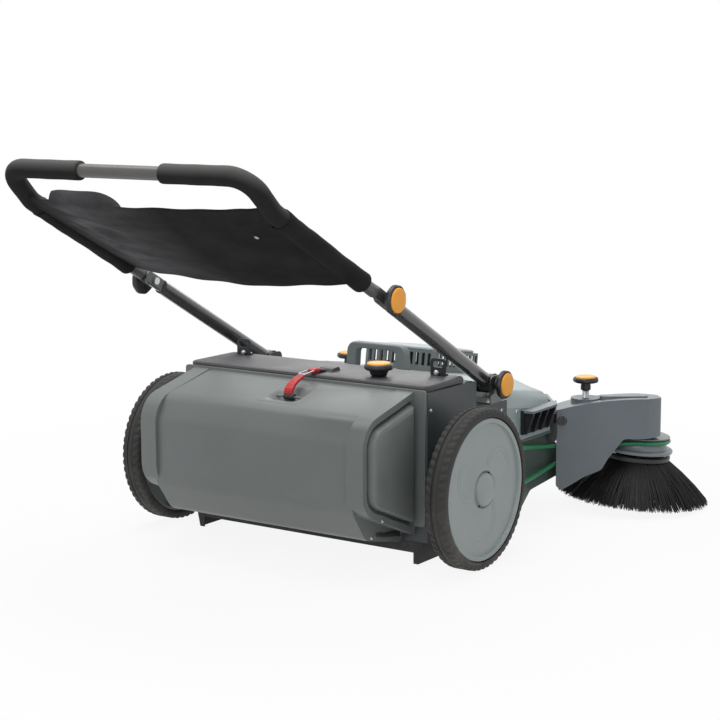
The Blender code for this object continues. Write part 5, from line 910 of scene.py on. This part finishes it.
# %% Sleeves, hems and the raised corner
def sleeve_grid(sign):
    """A loose tube of cloth round an arm: radius swells and creases along it, flattened inwards."""
    t = np.linspace(0, 1, 90)[:, None]
    a = circle(48)[None, :]
    y = SLEEVE_TOP + (CLOTH_LOW + 0.002 - SLEEVE_TOP) * t
    flare = np.clip((t - 0.86) / 0.14, 0, 1)
    r = 0.0174 + 0.0009 * np.exp(-t / 0.07) + 0.0012 * flare
    r = r + 0.0004 * np.sin(4.3 * t * np.pi + 2 * a)
    r = r + 0.00025 * np.sin(11.7 * t * np.pi - a + 3 * np.sin(5 * t))
    inward = np.clip(-np.cos(a), 0, 1)
    low = np.clip(-np.sin(a), 0, 1)
    r = r + 0.0050 * inward ** 3 * low + 0.0010 * flare * low
    normal = np.array([-UPPER_DIR[1], UPPER_DIR[0]])
    normal = normal if normal[1] > 0 else -normal
    x = ARM_X + r * np.cos(a)
    off = r * np.sin(a)
    grid = np.stack([x, y + off * normal[0], arm_height(y) + off * normal[1]], -1)
    return flipped(grid, sign), a * 0.016 + 0 * t, y + 0 * a


pieces_on_cloth = []
for tag, sign in SIDES:
    grid, u, v = sleeve_grid(sign)
    made = grid_object("cloth_sleeve_" + tag, grid, 80, (False, True), tidy=False)
    with_uv(made, u, v)
    if sign < 0:
        made.data.flip_normals()
    thicken(made, "cloth", 0.0012, -1.0)
    made.data.materials.append(CLOTH_BLACK)
    pieces_on_cloth.append(made)


HEM_SHARE, HEM_THICK = 0.045, 0.0012


def hem_grid(t_mid):
    """A doubled strip along a hem: the panel's own rows round t_mid, raised by its thickness."""
    last = panel_grid.shape[0] - 1
    pick = np.round((np.linspace(-HEM_SHARE, HEM_SHARE, 7) + t_mid) * last).astype(int)
    return panel_grid[np.clip(pick, 0, last)] + np.array([0, 0, HEM_THICK])


for name, t_mid in (("top", HEM_SHARE), ("low", 1 - HEM_SHARE)):
    grid = hem_grid(t_mid)
    pieces_on_cloth.append(sheet_object("cloth_hem_" + name, grid, HEM_THICK, grid[..., 1], grid[..., 0]))


def corner_grid():
    """Loose edge near the left upper corner: height(s) is a flat-topped hump, rolled forward at its top."""
    s = np.linspace(0, 1, 70)[None, :]
    t = np.linspace(0, 1, 16)[:, None]
    x = -0.218 + 0.172 * s
    y0 = CLOTH_TOP + 0.002
    side = (x / CLOTH_HALF + 1) / 2
    tall = 0.027 * np.clip(1 - np.abs((s - 0.44) / 0.56) ** 3.2, 0, 1) ** 0.6
    y = y0 - 0.004 * t + 0.010 * t * t + 0 * s
    z = arm_height(y0) - 0.016 - 0.044 * side * (1 - side) + tall * t + 0.0012 * np.sin(9 * s + 2 * t)
    return np.stack([x + 0 * t, y, z], -1), x + 0 * t, t * 0.02 + 0 * s


grid, u, v = corner_grid()
pieces_on_cloth.append(sheet_object("cloth_corner", grid, 0.0014, u, v))
spot = panel_grid[20, 132] - np.array([0.0, 0.0, 0.0010])
SNAP = [(0.0022, 0.0), (0.0044, 0.0), (0.0048, 0.0006), (0.0044, 0.0014), (0.0026, 0.0014), (0.0022, 0.0008)]
turned_object("cloth_snap", SNAP, spot, (-0.03, -0.50, -0.866), 32, ZINC, "folding_handle", closed=True)
for piece in pieces_on_cloth:
    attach(piece, "folding_handle")
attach(panel, "folding_handle")
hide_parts("cloth_panel")
print("cloth pieces:", 1 + len(pieces_on_cloth))

# %% [markdown]
# ## Bristles
# A brush is thousands of thin tapered strands. One strand is a three-sided sliver bent in a curve;
# all strands are worked out together as one array of shape (strands, steps, 3 corners, xyz), so
# there is no loop over them. Their roots and tips are scattered a little, as in a real tuft.

# %% Strand builder
def strands(name, root, tip, droop, radius, steps, finish, body):
    """All strands of a brush as one mesh.

    Centre(q) = root + (tip - root) q + droop * 4 q (1 - q), for q from 0 to 1, and the radius
    shrinks by a third towards the tip.
    """
    count = len(root)
    q = np.linspace(0, 1, steps)[None, :, None]
    centre = root[:, None] + (tip - root)[:, None] * q + droop[:, None] * 4 * q * (1 - q)
    along = tip - root
    along /= np.linalg.norm(along, axis=1)[:, None]
    side = np.cross(along, np.array([0.31, 0.17, 0.93]))
    side /= np.linalg.norm(side, axis=1)[:, None]
    other = np.cross(along, side)
    a = (np.arange(3) * 2 * np.pi / 3)[None, None, :, None]
    spread = np.cos(a) * side[:, None, None] + np.sin(a) * other[:, None, None]
    grid = centre[:, :, None] + spread * (radius * (1 - 0.35 * q))[..., None]
    base = (np.arange(count) * steps * 3)[:, None, None]
    quads = grid_quads(steps, 3, False, True)[None] + base
    tips = (np.arange(count) * steps * 3)[:, None] + np.array([[steps * 3 - 3, steps * 3 - 2, steps * 3 - 1]])
    roots = (np.arange(count) * steps * 3)[:, None] + np.array([[2, 1, 0]])
    faces = quads.reshape(-1, 4).tolist() + tips.tolist() + roots.tolist()
    made = dress(to_object(name, grid, faces, 80, tidy=False), finish, body)
    print(name, count, "strands")
    return made


# %% Side brushes
def brush_matrix():
    """The side brush's own axes: tilted 5 degrees towards the point that touches the floor."""
    lean = Vector((-math.sin(SIDE_LOW), math.cos(SIDE_LOW), 0))
    rest = SIDE_R * math.sin(SIDE_TILT) + 0.0010
    return np.array(Matrix.Translation((0.395, 0.660, rest)) @ Matrix.Rotation(SIDE_TILT, 4, lean))


BRUSH = brush_matrix()


def brush_space(points, sign):
    """Points in the brush's own axes, brought into the drawing's numbers and mirrored for the left."""
    return flipped(points @ BRUSH[:3, :3].T + BRUSH[:3, 3], sign)


def brush_turn(vectors, sign):
    """Directions in the brush's own axes, turned with it and mirrored for the left."""
    return flipped(vectors @ BRUSH[:3, :3].T, sign)


def side_strands(count, seed):
    """Roots in a ring under the plate, tips in a wider ring near the floor."""
    rng = np.random.default_rng(seed)
    a = rng.random(count) * 2 * np.pi
    depth = np.sqrt(rng.random(count))
    root_r = 0.052 + 0.020 * depth
    tip_r = 0.085 + 0.083 * depth + rng.normal(0, 0.0025, count)
    tip_r = np.minimum(tip_r, 0.1690)
    b = a + rng.normal(0, 0.035, count)
    root = np.stack([root_r * np.cos(a), root_r * np.sin(a), np.full(count, 0.0885)], -1)
    low = 0.0012 + np.abs(rng.normal(0, 0.0025, count)) + 0.004 * (1 - depth)
    tip = np.stack([tip_r * np.cos(b), tip_r * np.sin(b), low], -1)
    bend = np.stack([np.cos(a), np.sin(a), np.full(count, 0.35)], -1) * (0.001 + 0.003 * depth)[:, None]
    return root, tip, bend


BRISTLE_PLATE = [(0.0078, 0.1000), (0.0735, 0.1000), (0.0748, 0.0990), (0.0750, 0.0960), (0.0742, 0.0905),
                 (0.0700, 0.0878), (0.0078, 0.0878)]
BRUSH_SHEAVE = [(0.0080, 0.1061), (0.0755, 0.1061), (0.0778, 0.1068), (0.0789, 0.1085), (0.0789, 0.1128),
                (0.0776, 0.1140), (0.0690, 0.1162), (0.0616, 0.1275), (0.0616, 0.1390), (0.0700, 0.1408),
                (0.0706, 0.1418), (0.0702, 0.1432), (0.0676, 0.1438), (0.0080, 0.1438)]
PLATE_NUT_R, PALE_COUNT = 0.0630, 300
for tag, sign in SIDES:
    body = "side_brush_" + tag
    root, tip, bend = side_strands(5600, 5)
    made = strands("side_bristle_mass_" + tag, brush_space(root, sign), brush_space(tip, sign),
                   brush_turn(bend, sign), 0.00088, 4, BRISTLE_BLACK, body)
    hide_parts("side_bristles_" + tag)
    root, tip, bend = side_strands(PALE_COUNT, 9)
    share = np.random.default_rng(31).random((PALE_COUNT, 2))
    start = share[:, :1] * 0.85
    low, high = root + (tip - root) * start, root + (tip - root) * (start + 0.04 + 0.10 * share[:, 1:])
    strands("side_bristle_pale_" + tag, brush_space(low, sign), brush_space(high, sign),
            brush_turn(bend * 0.2, sign), 0.00060, 4, BRISTLE_PALE, body)
    axis, hub = flipped(BRUSH[:3, 2], sign), flipped(BRUSH[:3, 3], sign)
    turned_object("bristle_plate_" + tag, BRISTLE_PLATE, hub, axis, 96, BLACK_MOULDING, body, closed=True)
    turned_object("brush_sheave_" + tag, BRUSH_SHEAVE, hub, axis, 96, PULLEY_GREY, body, "side_pulley_" + tag,
                  closed=True)
    for k, turn in enumerate(np.radians([4, 124, 244])):
        spot = brush_space(np.array([PLATE_NUT_R * math.cos(turn), PLATE_NUT_R * math.sin(turn), 0.0]), sign)
        turned_object("plate_nut_%s_%d" % (tag, k), bar_profile(0.0064, 0.0997, 0.1063, 0.0006, 0.0007), spot,
                      axis, 6, ZINC, body)

# %% Roller brush
ROLLER_HALF, ROLLER_R, ROLLER_DROP = 0.236, 0.108, 0.042
ROLLER_AXIS = np.array([0.0, math.sqrt(ROLLER_R ** 2 - ROLLER_DROP ** 2), AXLE[2] - ROLLER_DROP])


def roller_strands(count):
    """Six chevron rows: the root's angle is row + 0.9 |x| / half, and the tip stands straight out."""
    rng = np.random.default_rng(3)
    x = (rng.random(count) * 2 - 1) * 0.2330
    a = rng.integers(0, 6, count) * np.pi / 3 + 0.9 * np.abs(x) / ROLLER_HALF + rng.normal(0, 0.10, count)
    b = a + rng.normal(0, 0.015, count)
    y0, z0 = ROLLER_AXIS[1:]
    far = 0.1145 - 0.004 * rng.random(count)
    root = np.stack([x, y0 + 0.0325 * np.cos(a), z0 + 0.0325 * np.sin(a)], -1)
    tip = np.stack([x + rng.normal(0, 0.0012, count), y0 + far * np.cos(b), z0 + far * np.sin(b)], -1)
    return root, tip


root, tip = roller_strands(4200)
made = strands("roller_bristle_mass", root, tip, np.zeros_like(root), 0.0007, 3, BRISTLE_BLACK, "main_brush")
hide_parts("main_brush_bristles")
turned_object("roller_core", bar_profile(0.0336, -ROLLER_HALF, ROLLER_HALF, 0.0006, 0.0008, 0.0084),
              ROLLER_AXIS, ACROSS, 72, BLACK_MOULDING, "main_brush", closed=True)

# %% [markdown]
# ## Belts
# Each side brush is driven from its wheel by a round green belt. The belt's centre line is made of
# straight runs and arcs: round the wheel's pulley, past the fixed post, round the brush's pulley and
# back past the post. A round tube then follows the line.

# %% Belt path from straight runs and arcs
def heading(first, second, r1, s1, r2, s2):
    """Direction of a straight run between two circles, s +1 where its middle is on the right."""
    span = second - first
    return math.atan2(span[1], span[0]) - math.asin((s1 * r1 - s2 * r2) / np.linalg.norm(span))


def rim_point(middle, radius, s, angle):
    """Where a run in this direction touches the circle, on the side that s says."""
    return middle + np.array([-math.sin(angle), math.cos(angle)]) * (s * radius)


def belt_line():
    """Round the wheel pulley, past the fixed post, round the brush pulley and back past the post."""
    x, r, bend, groove, groove_z = 0.3415, 0.070, 0.0156, 0.068, 0.1340
    out_z, back_z = 0.109, 0.142
    wheel = np.array([x, 0.0])
    post = arm_point(0.027, 0.033, 0)[:2]
    hub = (BRUSH[:3, :3] @ np.array([0, 0, groove_z]) + BRUSH[:3, 3])[:2]
    a = np.linspace(np.pi / 2, 3 * np.pi / 2, 41)
    around = np.stack([np.full(41, x), r * np.cos(a), AXLE[2] + r * np.sin(a)], -1)
    out_1, out_2 = heading(wheel, post, 0, 1, bend, 1), heading(post, hub, bend, 1, groove, 1)
    back_1, back_2 = heading(hub, post, groove, 1, bend, -1), heading(post, wheel, bend, -1, 0, 1)
    turn = np.linspace(out_1, out_2, 10)
    first = np.array([[*rim_point(post, bend, 1, q), out_z] for q in turn])
    tilt = np.linalg.inv(BRUSH[:3, :3])
    starts = []
    for angle in (out_2, back_1):
        n = tilt @ np.array([-math.sin(angle), math.cos(angle), 0])
        starts.append(math.atan2(n[1], n[0]))
    last = starts[1]
    while last > starts[0]:
        last -= 2 * math.pi
    q = np.linspace(starts[0], last, 41)
    loop = brush_space(np.stack([groove * np.cos(q), groove * np.sin(q), np.full(41, groove_z)], -1), 1.0)
    while back_2 < back_1:
        back_2 += 2 * math.pi
    turn = np.linspace(back_1, back_2, 14)
    second = np.array([[*rim_point(post, bend, -1, q), back_z] for q in turn])
    line = np.concatenate([around, first, loop, second, around[:1]], 0)
    return fine(line, 321)[:-1]


BELT = belt_line()
for tag, sign in SIDES:
    made = hose_object("drive_belt_" + tag, flipped(BELT, sign), 0.0046, 16, BELT_GREEN, closed=True)
    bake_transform(made)
    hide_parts("belt_" + tag)
belt_steps = np.diff(np.vstack([BELT, BELT[:1]]), axis=0)
print("belt length", round(float(np.linalg.norm(belt_steps, axis=1).sum()), 3))

# %% [markdown]
# ## Latch
# The red draw latch lies in the hopper's pocket. Its lever is a thick arched strap with ribs across
# its back for the thumb; a bright wire goes from it to a red end block, which meets a low black
# catch on the deck. Each is a section carried along a side-view line.

# %% Latch lever, wire, end block and catch
LATCH_X = 0.0235


def along_line(points, rows, x):
    """A side-view line (y, z) cut into rows steps, smoothed, with its normals."""
    y, z = np.array(points).T
    line = fine(np.stack([np.full(len(y), x), y, z], -1), rows)
    for _ in range(12):
        line[1:-1] = (line[:-2] + 2 * line[1:-1] + line[2:]) / 4
    tangent = np.gradient(line, axis=0)
    tangent /= np.linalg.norm(tangent, axis=1)[:, None]
    return line, np.stack([np.zeros(rows), -tangent[:, 2], tangent[:, 1]], -1)


def strap(name, points, half, thick, finish, body, rows=120, ribs=0, x=LATCH_X):
    """A flat bar: width and thickness are a superellipse |c|^0.4, |s|^0.6; ribs swell its back.

    half and thick each go from their first to their last value along the bar, and both ends are
    drawn in over the first and the last 3.6 hundredths of its length.
    """
    line, normal = along_line(points, rows, x)
    a = circle(36)
    c, s = np.cos(a)[None], np.sin(a)[None]
    q = np.linspace(0, 1, rows)[:, None]
    tip = np.clip(np.minimum(q, 1 - q) / 0.036, 0, 1)
    drawn = 0.35 + 0.65 * np.sqrt(np.clip(1 - (1 - tip) ** 2, 0, 1))
    swell = 1 + 0.16 * np.clip(np.sin(2 * np.pi * ribs * q), 0, 1) * (q > 0.10) * (q < 0.80) * (s > 0)
    wide = np.sign(c) * np.abs(c) ** 0.4 * (half[0] + (half[1] - half[0]) * q) * drawn
    tall = np.sign(s) * np.abs(s) ** 0.6 * (thick[0] + (thick[1] - thick[0]) * q) * drawn * swell
    grid = line[:, None] + wide[..., None] * np.array([1.0, 0, 0]) + tall[..., None] * normal[:, None]
    return dress(grid_object(name, capped(grid), wrap=(False, True)), finish, body)


lever = strap("latch_lever", [(-0.1345, 0.3310), (-0.1330, 0.3400), (-0.1240, 0.3490), (-0.1120, 0.3555),
                              (-0.0980, 0.3605), (-0.0830, 0.3640)],
              (0.0108, 0.0080), (0.0042, 0.0030), LATCH_RED, "latch", ribs=13)
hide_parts("latch_strap")
strap("latch_end_block", [(-0.0600, 0.3668), (-0.0450, 0.3676), (-0.0315, 0.3668)],
      (0.0070, 0.0066), (0.0046, 0.0044), LATCH_RED, "latch", rows=60, ribs=4)
strap("latch_catch", [(-0.0300, 0.3648), (-0.0220, 0.3652), (-0.0130, 0.3634)],
      (0.0078, 0.0070), (0.0034, 0.0020), BLACK_MOULDING, "chassis", rows=40)
# The pivot eye is a real part; its black is painted shade, standing for the shadow at the pocket's edge below
# the lever.
turned_object("latch_eye", bar_profile(0.0064, -0.0118, 0.0118, 0.0004, 0.0006, 0.0026),
              (0.026, -0.134, 0.327), ACROSS, 40, BLACK_MOULDING, "latch", closed=True)
wire = bow([(0.0165, -0.0580, 0.3690), (0.0150, -0.0900, 0.3660), (0.0320, -0.0900, 0.3660),
            (0.0305, -0.0580, 0.3690)], 0.004, 6)
hose_object("latch_wire", fine(wire, 90), 0.0013, 12, ZINC, "latch")

# %% [markdown]
# ## Small fasteners
# Pan-head screws hold the housing, the tie-down eyes and the hopper. A head is a turned dome, and
# its cross recess is a dent in the same surface: the height drops where a point lies near either
# arm of the cross.

# %% Screw heads
def screw_grid(centre, axis, radius):
    """Height over the seat = a flattened dome, less the cross where |u| or |v| is under the arm's width."""
    r = np.concatenate([np.linspace(0, 0.62, 14), [0.72, 0.82, 0.92, 0.98, 1.0, 1.0]]) * radius
    a = circle(48)[:, None]
    u, v = r * np.cos(a), r * np.sin(a)
    dome = 0.42 * radius * np.sqrt(np.clip(1 - (r / radius) ** 2 * 0.92, 0, 1)) + 0.1 * radius
    dome[-1] = -0.02 * radius
    arm = np.minimum(np.abs(u), np.abs(v)) < 0.13 * radius
    dent = np.where(arm & (np.hypot(u, v) < 0.58 * radius), 0.35 * radius, 0.0)
    axis = np.asarray(axis, float) / np.linalg.norm(axis)
    side = np.cross(axis, (0.12, 0.31, 0.94) if abs(axis[2]) < 0.8 else (1.0, 0.1, 0.0))
    side /= np.linalg.norm(side)
    other = np.cross(axis, side)
    height = dome[None, :] - dent
    return np.asarray(centre) + u[..., None] * side + v[..., None] * other + height[..., None] * axis


def screws(name, places, body, radius):
    """Several screws of one body as one mesh."""
    grids = [screw_grid(centre, axis, radius) for centre, axis in places]
    rows, cols = grids[0].shape[:2]
    quads = grid_quads(rows, cols, True, False)
    faces = np.concatenate([quads + k * rows * cols for k in range(len(grids))], 0)
    dress(to_object(name, np.concatenate([g.reshape(-1, 3) for g in grids], 0), faces, 35), ZINC, body)


places = []
for tag, sign in SIDES:
    for spot in ((0.3022, -0.0465, 0.313), (0.3022, 0.228, 0.270), (0.3022, 0.228, 0.120),
                 (0.2972, 0.272, 0.212), (0.2972, 0.300, 0.256)):
        places.append((flipped(np.array(spot), sign), (sign, 0, 0)))
    for x in (0.238, 0.256):
        places.append(((sign * x, 0.078, 0.3646), UPWARD))
screws("housing_screws", places, "chassis", 0.0042)
places = [(spot, ACROSS) for spot in ((0.2742, -0.1743, 0.1167), (0.2432, -0.1662, 0.0769),
                                      (0.2462, -0.0712, 0.0661))]
screws("hopper_screws", places, "hopper", 0.0040)
strap("hopper_clip", [(-0.1500, 0.0790), (-0.1200, 0.0720), (-0.0900, 0.0690), (-0.0680, 0.0650)],
      (0.0022, 0.0022), (0.0042, 0.0060), BLACK_MOULDING, "hopper", rows=60, x=0.2458)

# %% Nuts behind the tie-down eyes
BOLT_TIP = [(0.0, 0.0030)] + thread(0.0031, 0.0035, 0.0075)[1:-1] + [(0.0, 0.0078)]
for tag, sign in SIDES:
    spot = np.array([sign * 0.2450, 0.0677, 0.3672])
    turned_object("eye_nut_" + tag, bar_profile(0.0060, 0.0, 0.0040, 0.0006, 0.0006), spot, (0, -1, 0), 6,
                  ZINC, "chassis")
    turned_object("eye_bolt_" + tag, BOLT_TIP, spot, (0, -1, 0), 28, ZINC, "chassis")

# %% Plugs on the arms' rear walls and flaps beside them
def oval_grid(profile, centre, side, out):
    """An oval turned shape: centre + r (wide cos a side + tall sin a up) + height out."""
    wide, tall = 0.0070, 0.0140
    r, h = np.array(profile).T
    a = circle(64)[:, None]
    flat = (wide * r * np.cos(a))[..., None] * side + (tall * r * np.sin(a))[..., None] * np.array(UPWARD)
    return centre + flat + h[None, :, None] * out


PLUG_RIM = [(1.0, -0.0008), (1.0, 0.0014), (0.95, 0.0022), (0.86, 0.0023), (0.80, 0.0016), (0.78, 0.0004)]
PLUG_PAD = [(0.0, 0.0006), (0.40, 0.0006), (0.79, 0.0005), (0.80, -0.0008)]
for tag, sign in SIDES:
    c, s = math.cos(ARM_TURN), math.sin(ARM_TURN)
    side, out = flipped(np.array([c, s, 0.0]), sign), flipped(np.array([s, -c, 0.0]), sign)
    centre = arm_point(0.0128, 0.0, 0.2060, sign)
    for name, profile, finish in (("rim", PLUG_RIM, ARM_GREY), ("pad", PLUG_PAD, PULLEY_GREY)):
        plug = grid_object("arm_plug_%s_%s" % (name, tag), oval_grid(profile, centre, side, out), 35,
                           (True, False))
        dress(plug, finish, "brush_arm_" + tag)
    q = np.linspace(0, 1, 24)[:, None]
    t = np.linspace(0, 1, 24)[None, :]
    u = -0.0205 + 0.0212 * q * (1 - 0.12 * t ** 4) + 0 * t
    grid = np.stack([ARM_ORIGIN[0] + u * c + 0.0052 * s + 0 * t,
                     ARM_ORIGIN[1] + u * s - 0.0052 * c + 0.0006 * np.sin(5 * q + 3 * t),
                     0.2030 - 0.0435 * t * (1 - 0.10 * (2 * q - 1) ** 4)], -1)
    made = grid_object("dust_flap_" + tag, flipped(grid, sign), 60, tidy=False)
    thicken(made, "rubber", 0.0018, 0.0)
    dress(made, FLAP_BLACK, "chassis")

# %% [markdown]
# ## Caster
# The small front wheel gets the same treatment as the large ones, with more steps than its solid.

# %% Caster wheel
CASTER_R, CASTER_AXLE = 0.0396, (0, 0.519, 0.03923)
half = [(0.0046, -0.012), (0.012, -0.012), (0.0135, -0.0105), (0.0145, -0.0092), (0.030, -0.0092),
        (0.0325, -0.0098), (0.0362, -0.0098), (0.0384, -0.0075), (0.0394, -0.0040)]
profile = half + [(CASTER_R, 0.0)] + [(r, -h) for r, h in reversed(half)]
turned_object("caster_tread", profile, CASTER_AXLE, ACROSS, 96, TYRE_BLACK, "caster_roller",
              "caster_wheel", closed=True)

# %% [markdown]
# ## Room, light and camera
# The room is plain: a pale floor that turns white towards the camera but keeps a soft shadow, an
# even sky and three broad lamps. The camera stands where the photographer stood.

# %% Floor and sky
FLOOR_TONE, LIFT_NEAR, SKY_STRENGTH = 0.74, 0.90, 0.50


def seen_rays(tree):
    """1 for rays that the camera sees, also in mirrors and through glass, and 0 for falling light."""
    path = tree.nodes.new("ShaderNodeLightPath")
    seen = maths(tree, "MAXIMUM", path.outputs["Is Camera Ray"], path.outputs["Is Glossy Ray"])
    return maths(tree, "MAXIMUM", seen, path.outputs["Is Transmission Ray"])


def mix_shaders(tree, mask, first, second):
    """A Mix Shader node's output: first where the mask is 0, second where it is 1."""
    mix = tree.nodes.new("ShaderNodeMixShader")
    for socket, value in zip(mix.inputs, (mask, first, second)):
        tree.links.new(value, socket)
    return mix.outputs[0]


def white_floor():
    """Diffuse floor, lifted to white for the camera and for mirrors: in part near the machine, so
    that its shadow stays, and wholly from about 1.7 m out."""
    made = bpy.data.materials.new("white_floor")
    made.use_nodes = True
    tree = made.node_tree
    tree.nodes.clear()
    out = tree.nodes.new("ShaderNodeOutputMaterial")
    matt = tree.nodes.new("ShaderNodeBsdfDiffuse")
    matt.inputs["Color"].default_value = (FLOOR_TONE, FLOOR_TONE, FLOOR_TONE, 1)
    glow = tree.nodes.new("ShaderNodeEmission")
    glow.inputs["Strength"].default_value = 1.0
    coords = tree.nodes.new("ShaderNodeTexCoord")
    reach = tree.nodes.new("ShaderNodeVectorMath")
    reach.operation = "LENGTH"
    tree.links.new(coords.outputs["Object"], reach.inputs[0])
    far = maths(tree, "MULTIPLY", maths(tree, "SUBTRACT", reach.outputs["Value"], 0.75), 1.1, clamp=True)
    lift = maths(tree, "ADD", maths(tree, "MULTIPLY", far, 1 - LIFT_NEAR), LIFT_NEAR)
    mask = maths(tree, "MULTIPLY", seen_rays(tree), lift)
    tree.links.new(mix_shaders(tree, mask, matt.outputs[0], glow.outputs[0]), out.inputs[0])
    return made


side = np.linspace(-9, 9, 3)
floor_grid = np.stack(np.meshgrid(side, side, [-0.0006], indexing="ij"), -1)[:, :, 0]
floor = grid_object("studio_floor", floor_grid, tidy=False)
floor.data.materials.append(white_floor())
if floor.data.polygons[0].normal.z < 0:
    floor.data.flip_normals()

scene = bpy.context.scene
world = bpy.data.worlds.new("studio_sky")
scene.world = world
world.use_nodes = True
tree = world.node_tree
sky = tree.nodes["Background"]
sky.inputs["Color"].default_value = (1, 1, 1, 1)
sky.inputs["Strength"].default_value = SKY_STRENGTH
white = tree.nodes.new("ShaderNodeBackground")
white.inputs["Color"].default_value = (1, 1, 1, 1)
white.inputs["Strength"].default_value = 1.0
both_skies = mix_shaders(tree, seen_rays(tree), sky.outputs[0], white.outputs[0])
tree.links.new(both_skies, tree.nodes["World Output"].inputs["Surface"])
scene.view_settings.view_transform = "Standard"


# %% Lamps
LAMP_TARGET = (0, 0, 0.3)


def lamp(name, place, size, power):
    """A rectangular area lamp at place, aimed at the middle of the machine."""
    data = bpy.data.lights.new(name, "AREA")
    data.shape = "RECTANGLE"
    data.size, data.size_y = size
    data.energy = power
    made = bpy.data.objects.new(name, data)
    made.location = place
    made.rotation_euler = (Vector(LAMP_TARGET) - Vector(place)).to_track_quat("-Z", "Y").to_euler()
    scene.collection.objects.link(made)


lamp("broad_top", (-0.3, -0.4, 2.9), (2.6, 2.6), 66)
lamp("camera_side", (1.6, -3.0, 1.9), (1.6, 1.6), 22)
lamp("far_rim", (-1.2, 2.6, 1.7), (1.8, 1.2), 14)

# %% Camera
azimuth, pitch, roll = math.radians(34.45), math.radians(9.17), math.radians(-0.24)
back = Vector((math.sin(azimuth) * math.cos(pitch), -math.cos(azimuth) * math.cos(pitch), math.sin(pitch)))
right = Vector((0, 0, 1)).cross(back).normalized()
turn = Matrix((right, back.cross(right), back)).transposed() @ Matrix.Rotation(roll, 3, "Z")
lens = bpy.data.cameras.new("photo_camera")
lens.lens, lens.sensor_width = 89.9, 36.0
camera = bpy.data.objects.new("photo_camera", lens)
camera.matrix_world = Matrix.Translation((2.131, -3.068, 0.968)) @ turn.to_4x4()
scene.collection.objects.link(camera)
scene.camera = camera
print("camera at", tuple(round(c, 3) for c in camera.location))
